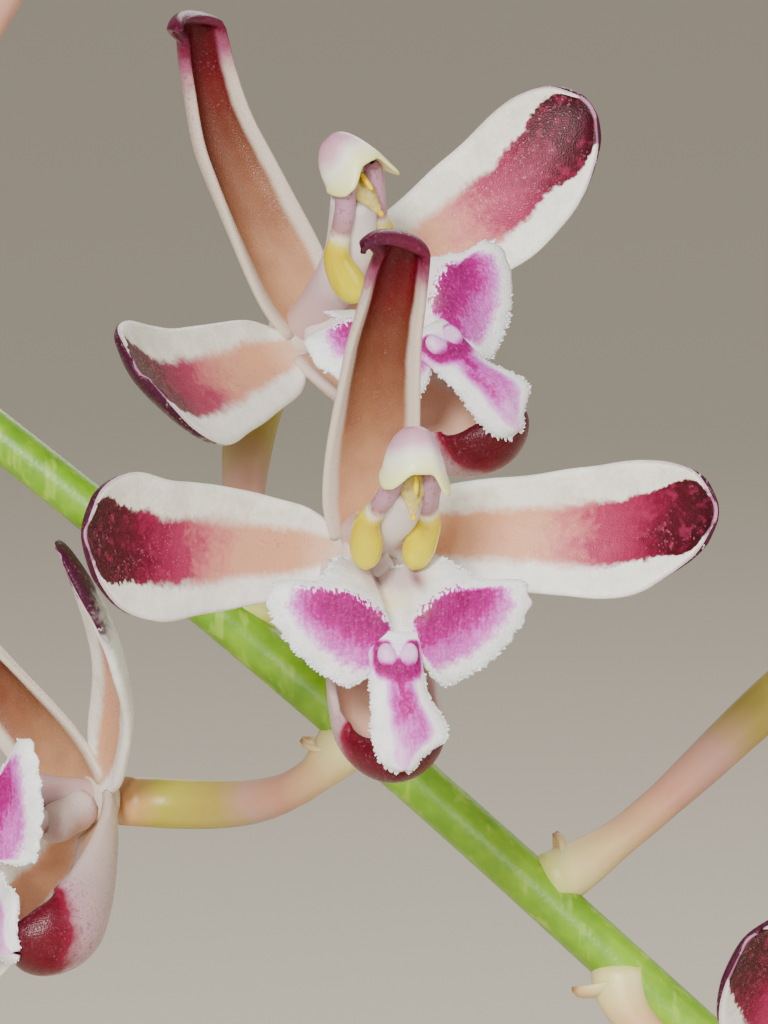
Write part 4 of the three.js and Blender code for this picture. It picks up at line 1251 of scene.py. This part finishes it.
def leafAt(spec, heading, length, arch, seed):
    out = flatWay(heading)
    side = Vector((-out.y, out.x, 0))
    steps = 60
    spot = bulbFoot(spec) + Vector((0, 0, spec["height"] + leaf["gap"])) + out * leaf["apart"]
    spine, leans = [spot], [math.radians(leaf["lean"])]
    for k in range(steps):
        lean = math.radians(leaf["lean"] + arch * ((k + 0.5) / steps) ** 1.35)
        spine.append(spine[-1] + (out * math.sin(lean) + Vector((0, 0, math.cos(lean)))) * length / steps)
        leans.append(lean)

    def at(t, w):
        k = t * steps
        i = min(int(k), steps - 1)
        place = spine[i].lerp(spine[i + 1], k - i)
        lean = leans[min(i + 1, steps)]
        swell = math.sin(math.pi * t ** 0.85) ** 1.2 if 0 < t < 1 else 0
        half = leaf["base"] * (1 - 0.6 * t) * ease(t, 1, 0.985) + (leaf["half"] - leaf["base"]) * swell
        half *= 1 + 0.05 * noise.noise(Vector((t * 6, seed, 0 if w < 0 else 4)))
        up = -out * math.cos(lean) + Vector((0, 0, math.sin(lean)))
        channel = abs(w) ** 1.3 * leaf["keel"] + 0.06 * math.sin(9 * t + seed) * abs(w)
        return place + side * w * half + up * channel * half
    return at


def leafPleat(t, w, side):
    return leaf["pleat"] * math.cos(w * 23) * side * ease(t, 0, 0.2)


def makeLeaves():
    skin = makeLeafSkin()
    number = 0
    for spec in bulbs:
        for heading, length, arch in spec["leaves"]:
            number += 1
            bm = bmesh.new()
            addSheet(bm, leafAt(spec, heading, length, arch, number), leaf["along"], leaf["across"], leaf["thick"],
                     flip=-1, rough=leafPleat)
            piece(f"leaf{number}", bm, [skin], "leaf", f"leaf_{number}")


makeLeaves()
print("leaves made")


# rhizome and roots

rhizome = {"radius": 2.1, "height": 70.4, "runs": [(0, 1, 2), (1, 3, 4)], "around": 24, "along": 90}
# specs: the bulb that a root starts at, its heading and how far it waves
root = {"radius": 0.95, "tip": 0.55, "reach": 33, "rise": 3.4, "around": 14, "along": 60,
        "specs": [(0, -22, 1.2), (0, 62, -2), (1, -86, 2.5), (1, -52, -2.5), (2, -62, 1.5),
                  (3, 68, 1.5), (3, 26, 2), (4, 100, 1.2), (4, 250, -1)]}


def makeRootSkin():
    skin, principled, where = startMaterial("rootSkin", 0.75)
    t = surfacePlace(where)[0]
    base = blend(mottle(where, 220), (196, 188, 164), (226, 222, 206))
    base = blend(fade(cloud(where, 420, 4), 0.55, 0.75, 0, 0.6), base, (134, 112, 80))
    base = blend(fade(t, 0.9, 0.97), base, (142, 168, 74))
    feel(principled, base, cloud(where, 3000, 4), 0.6, 0.0001)

    wood, principled, where = startMaterial("rhizomeSkin", 0.8)
    base = blend(mottle(where, 180), (98, 74, 46), (158, 134, 92))
    feel(principled, base, cloud(where, 900, 5), 0.8, 0.0003)
    return [skin, wood]


def makeRoots():
    bm = bmesh.new()
    spots = [Vector((*spec["at"], rhizome["height"])) for spec in bulbs]

    def knots(s, a):
        return 1 + 0.07 * math.cos(120 * s) + 0.08 * noise.noise(Vector((s * 20, math.cos(a), math.sin(a))))

    for run in rhizome["runs"]:
        addTube(bm, lineThrough([spots[k] for k in run]), pointed(lambda s: rhizome["radius"]), rhizome["around"],
                rhizome["along"], 1, knots)
    taper = pointed(lambda s: root["radius"] + (root["tip"] - root["radius"]) * s)
    for k, (start, heading, wave) in enumerate(root["specs"]):
        spot = spots[start]
        out = flatWay(heading)
        side = Vector((-out.y, out.x, 0))
        run = spot.x * out.x + spot.y * out.y
        length = math.sqrt(run * run + root["reach"] ** 2 - spot.x ** 2 - spot.y ** 2) - run
        points = []
        for step in range(7):
            away = length * step / 6
            place = spot + out * away + side * wave * math.sin(5 * away / length)
            place.z += root["rise"] * ease(away, 8.5, 14) - 1.8 * ease(away, length - 5, length)
            points.append(place)
        addTube(bm, lineThrough(points), taper, root["around"], root["along"], 0,
                lambda s, a, k=k: 1 + 0.12 * noise.noise(Vector((s * 24, math.cos(a) + k, math.sin(a)))))
    piece("rhizomeAndRoots", bm, makeRootSkin(), "root", "rhizome_roots")


makeRoots()
print("roots made")


# potting mix of bark chips

mix = {"bottom": 7.4, "top": 70, "gap": 0.4, "around": 72, "chips": 230, "long": (6, 11), "wide": (4, 7.5),
       "thick": (1.8, 3.6), "tilt": 0.5, "edge": 3.2, "turn": 137.5, "rough": 0.17}
pot = {"height": 82, "top": 43, "foot": 31, "wall": 4.5, "floor": 7, "rim": 14, "proud": 3, "hole": 4.5, "holes": 3,
       "offset": 15, "around": 120}


def potRadius(z):
    return pot["foot"] + (pot["top"] - pot["foot"]) / pot["height"] * z


def insideRadius(z):
    return potRadius(z) - pot["wall"] - mix["gap"]


def makeBarkSkins():
    bark, principled, where = startMaterial("barkSkin", 0.85)
    shade = mark(where, "shade")
    colour = ramp(shade, [(0, (62, 38, 24)), (0.4, (104, 68, 42)), (0.75, (146, 100, 62)),
                          (1, (178, 136, 92))])
    grain = cloud(stretch(where, 1, 0.25, 1), 900, 5, 0.6)
    colour = blend(fade(grain, 0.42, 0.62, 0, 0.55), colour, (48, 28, 18))
    colour = blend(fade(cloud(where, 2600, 2), 0.62, 0.74, 0, 0.5), colour, (190, 160, 120))
    feel(principled, colour, calc("ADD", grain, cloud(where, 2600, 3)), 0.8, 0.0004)

    soil, principled, where = startMaterial("soilSkin", 0.95)
    colour = blend(mottle(where, 240), (34, 24, 18), (76, 56, 40))
    feel(principled, colour, cloud(where, 900, 6), 0.9, 0.0008)
    return [bark, soil]


def makeMix():
    bm = bmesh.new()
    draw = random.Random(23)
    low, high = mix["bottom"], mix["top"] - 1
    spinRound(bm, [(0, low), (insideRadius(low), low), (insideRadius(high), high), (0, high)], mix["around"])
    for face in bm.faces:
        face.material_index = 1
    clear = [(Vector(spec["at"]), spec["radius"] * 0.8) for spec in bulbs]
    bark = bmesh.new()
    shade = bark.verts.layers.float.new("shade")
    bmesh.ops.create_cube(bark, size=1)
    bmesh.ops.subdivide_edges(bark, edges=bark.edges[:], cuts=2, use_grid_fill=True)
    chips = repeats(bark, bark.verts[:], mix["chips"])
    unused = []
    for k, island in enumerate(chips):
        share = math.sqrt((k + 0.5) / mix["chips"])
        spot = (flatWay(mix["turn"] * k) * share * (insideRadius(mix["top"]) - mix["edge"])).to_2d()
        if any((spot - middle).length < size for middle, size in clear):
            unused += island
            continue
        size = [draw.uniform(*mix[name]) for name in ("long", "wide", "thick")]
        seed = Vector((k * 1.7, k * 0.3, 0))
        turned = Matrix.Rotation(draw.uniform(0, math.tau), 3, "Z")
        for axis in ("Y", "X"):
            turned = turned @ Matrix.Rotation(draw.uniform(-mix["tilt"], mix["tilt"]), 3, axis)
        sunk = 0.2 if k % 3 else 2.2
        middle = Vector((*spot, mix["top"] - sunk + draw.uniform(0, 2.2)))
        tone = draw.random()
        for v in island:
            p = v.co.copy()
            p *= 1 - 0.18 * max(0, p.length - 0.62)
            p += noise.noise_vector(p * 2.6 + seed) * mix["rough"]
            v.co = turned @ Vector((p.x * size[0], p.y * size[1], p.z * size[2])) + middle
            v[shade] = tone
    bmesh.ops.delete(bark, geom=unused, context="VERTS")
    join(bm, bark)
    piece("pottingMix", bm, makeBarkSkins(), "bark", "potting_mix")


makeMix()
print("potting mix made")


# clay pot

def makeClaySkin():
    material, principled, where = startMaterial("claySkin", 0.88)
    height = newNode(where.id_data, "ShaderNodeSeparateXYZ", {0: where}).outputs[2]
    base = blend(mottle(where, 28), (168, 92, 60), (196, 122, 84))
    base = blend(fade(cloud(where, 90, 6), 0.5, 0.72, 0, 0.5), base, (206, 146, 112))
    salt = calc("MULTIPLY", fade(cloud(where, 64, 7, 0.4), 0.52, 0.74),
                fade(height, 0.03, 0.075, 0.55, 0.25))
    base = blend(salt, base, (222, 204, 188))
    damp = fade(calc("MULTIPLY_ADD", cloud(where, 36, 4), 0.02, height), 0.034, 0.008, 0, 0.5)
    base = blend(damp, base, (120, 66, 44))
    specks = fade(cloud(where, 1400, 2), 0.68, 0.76)
    base = blend(calc("MULTIPLY", specks, 0.5), base, (104, 60, 42))
    rings = calc("SINE", calc("MULTIPLY", height, 3600))
    relief = calc("MULTIPLY_ADD", rings, 0.16, cloud(where, 1100, 5))
    feel(principled, base, relief, 0.5, 0.0003, fade(cloud(where, 300, 4), 0.3, 0.7, 0.8, 0.95))
    return material


def makePot():
    under, crown = pot["height"] - pot["rim"], pot["height"]
    step, lip, inner = potRadius(under), pot["top"] + pot["proud"], pot["top"] - pot["wall"]
    profile = [(0, 0), (pot["foot"] - 1.2, 0), (pot["foot"] - 0.5, 0.25), (pot["foot"], 1)]
    profile += [(potRadius(z) + 0.12 * math.sin(z * 0.9), z) for z in range(4, int(under) - 1, 2)]
    profile += [
        (step, under), (step + 1.2, under + 0.15), (step + pot["proud"] - 0.4, under + 0.5),
        (step + pot["proud"], under + 1.3), (potRadius(under + 5) + pot["proud"] - 0.1, under + 5),
        (potRadius(crown - 4) + pot["proud"], crown - 4), (lip - 0.5, crown - 1.2), (lip - 1.1, crown - 0.4),
        (lip - 2, crown), (inner + 1.8, crown), (inner + 0.6, crown - 0.5), (inner, crown - 1.6),
    ]
    profile += [(potRadius(z) - pot["wall"], z) for z in range(76, 7, -6)]
    profile += [(potRadius(pot["floor"]) - pot["wall"] - 1, pot["floor"]), (0, pot["floor"])]
    bm = bmesh.new()
    spinRound(bm, profile, pot["around"])
    for face in bm.faces:
        face.smooth = True
    obj = piece("clayPot", bm, [makeClaySkin()], "clay", "pot")
    drill = bmesh.new()
    for k in range(pot["holes"]):
        made = bmesh.ops.create_cone(drill, cap_ends=True, segments=32, radius1=pot["hole"], radius2=pot["hole"],
                                     depth=3 * pot["floor"])["verts"]
        spot = flatWay(90 + 360 / pot["holes"] * k) * pot["offset"] + Vector((0, 0, pot["floor"] / 2))
        bmesh.ops.translate(drill, vec=spot, verts=made)
    bmesh.ops.scale(drill, vec=(mm, mm, mm), verts=drill.verts[:])
    drillMesh = bpy.data.meshes.new("drainDrill")
    drill.to_mesh(drillMesh)
    drill.free()
    drillObj = bpy.data.objects.new("drainDrill", drillMesh)
    bpy.context.scene.collection.objects.link(drillObj)
    cut = obj.modifiers.new("drainHoles", "BOOLEAN")
    cut.object = drillObj
    cut.solver = "EXACT"
    bpy.context.view_layer.update()
    done = bpy.data.meshes.new_from_object(obj.evaluated_get(bpy.context.evaluated_depsgraph_get()))
    obj.modifiers.clear()
    obj.data = done
    bpy.data.objects.remove(drillObj)


makePot()
print("pot made")


# floor, light and camera

studio = {
    "floor": (222, 212, 194), "floorSize": 30, "floorDrop": 0.0002, "sky": (240, 236, 228), "skyStrength": 0.44,
    "lights": [  # name, place, width, power and what it looks at
        ("keyLight", (-0.3, -1.15, 0.78), 0.3, 20, (-0.02, -0.03, 0.2)),
        ("frontLight", (-0.1, -0.62, 0.37), 0.05, 0.9, (-0.03, -0.04, 0.255)),
        ("fillLight", (1.1, -0.6, 0.7), 1, 6, (0, 0, 0.15)),
        ("backLight", (0.2, 1.2, 1), 0.8, 9, (0, 0, 0.2)),
    ],
}
picture = {"distance": 0.2, "rows": 1024, "rowsPerMm": 55, "film": 36, "nearest": 0.005, "beside": (0.49, 0.42)}


def makeStage():
    bm = bmesh.new()
    bmesh.ops.create_grid(bm, x_segments=1, y_segments=1, size=studio["floorSize"])
    mesh = bpy.data.meshes.new("floor")
    bm.to_mesh(mesh)
    bm.free()
    floor = bpy.data.objects.new("floor", mesh)
    bpy.context.scene.collection.objects.link(floor)
    floor.location.z = -studio["floorDrop"]
    skin = bpy.data.materials.new("floorSkin")
    skin.use_nodes = True
    principled = skin.node_tree.nodes["Principled BSDF"]
    principled.inputs["Base Color"].default_value = tint(*studio["floor"])
    principled.inputs["Roughness"].default_value = 0.9
    mesh.materials.append(skin)

    world = bpy.data.worlds.new("studio")
    bpy.context.scene.world = world
    world.use_nodes = True
    sky = world.node_tree.nodes["Background"]
    sky.inputs["Color"].default_value = tint(*studio["sky"])
    sky.inputs["Strength"].default_value = studio["skyStrength"]
    for name, spot, size, power, aim in studio["lights"]:
        lamp = bpy.data.lights.new(name, "AREA")
        lamp.shape = "DISK"
        lamp.size = size
        lamp.energy = power
        light = bpy.data.objects.new(name, lamp)
        bpy.context.scene.collection.objects.link(light)
        light.location = spot
        light.rotation_euler = (Vector(aim) - Vector(spot)).to_track_quat("-Z", "Y").to_euler()


def makeCamera():
    # looks at the hero bloom, a little beside its middle
    right, up, back = (seen(v) for v in ((1, 0, 0), (0, 1, 0), (0, 0, 1)))
    target = (heroPlace["at"] + right * picture["beside"][0] + up * picture["beside"][1]) * mm
    spot = target - back * picture["distance"]
    camera = bpy.data.cameras.new("camera")
    camera.sensor_fit = "VERTICAL"
    camera.sensor_height = picture["film"]
    camera.lens = picture["film"] * picture["distance"] / mm * picture["rowsPerMm"] / picture["rows"]
    camera.clip_start = picture["nearest"]
    obj = bpy.data.objects.new("camera", camera)
    bpy.context.scene.collection.objects.link(obj)
    obj.matrix_world = Matrix.Translation(spot) @ Matrix((right, up, -back)).transposed().to_4x4()
    bpy.context.scene.camera = obj


makeStage()
makeCamera()
print("stage made")
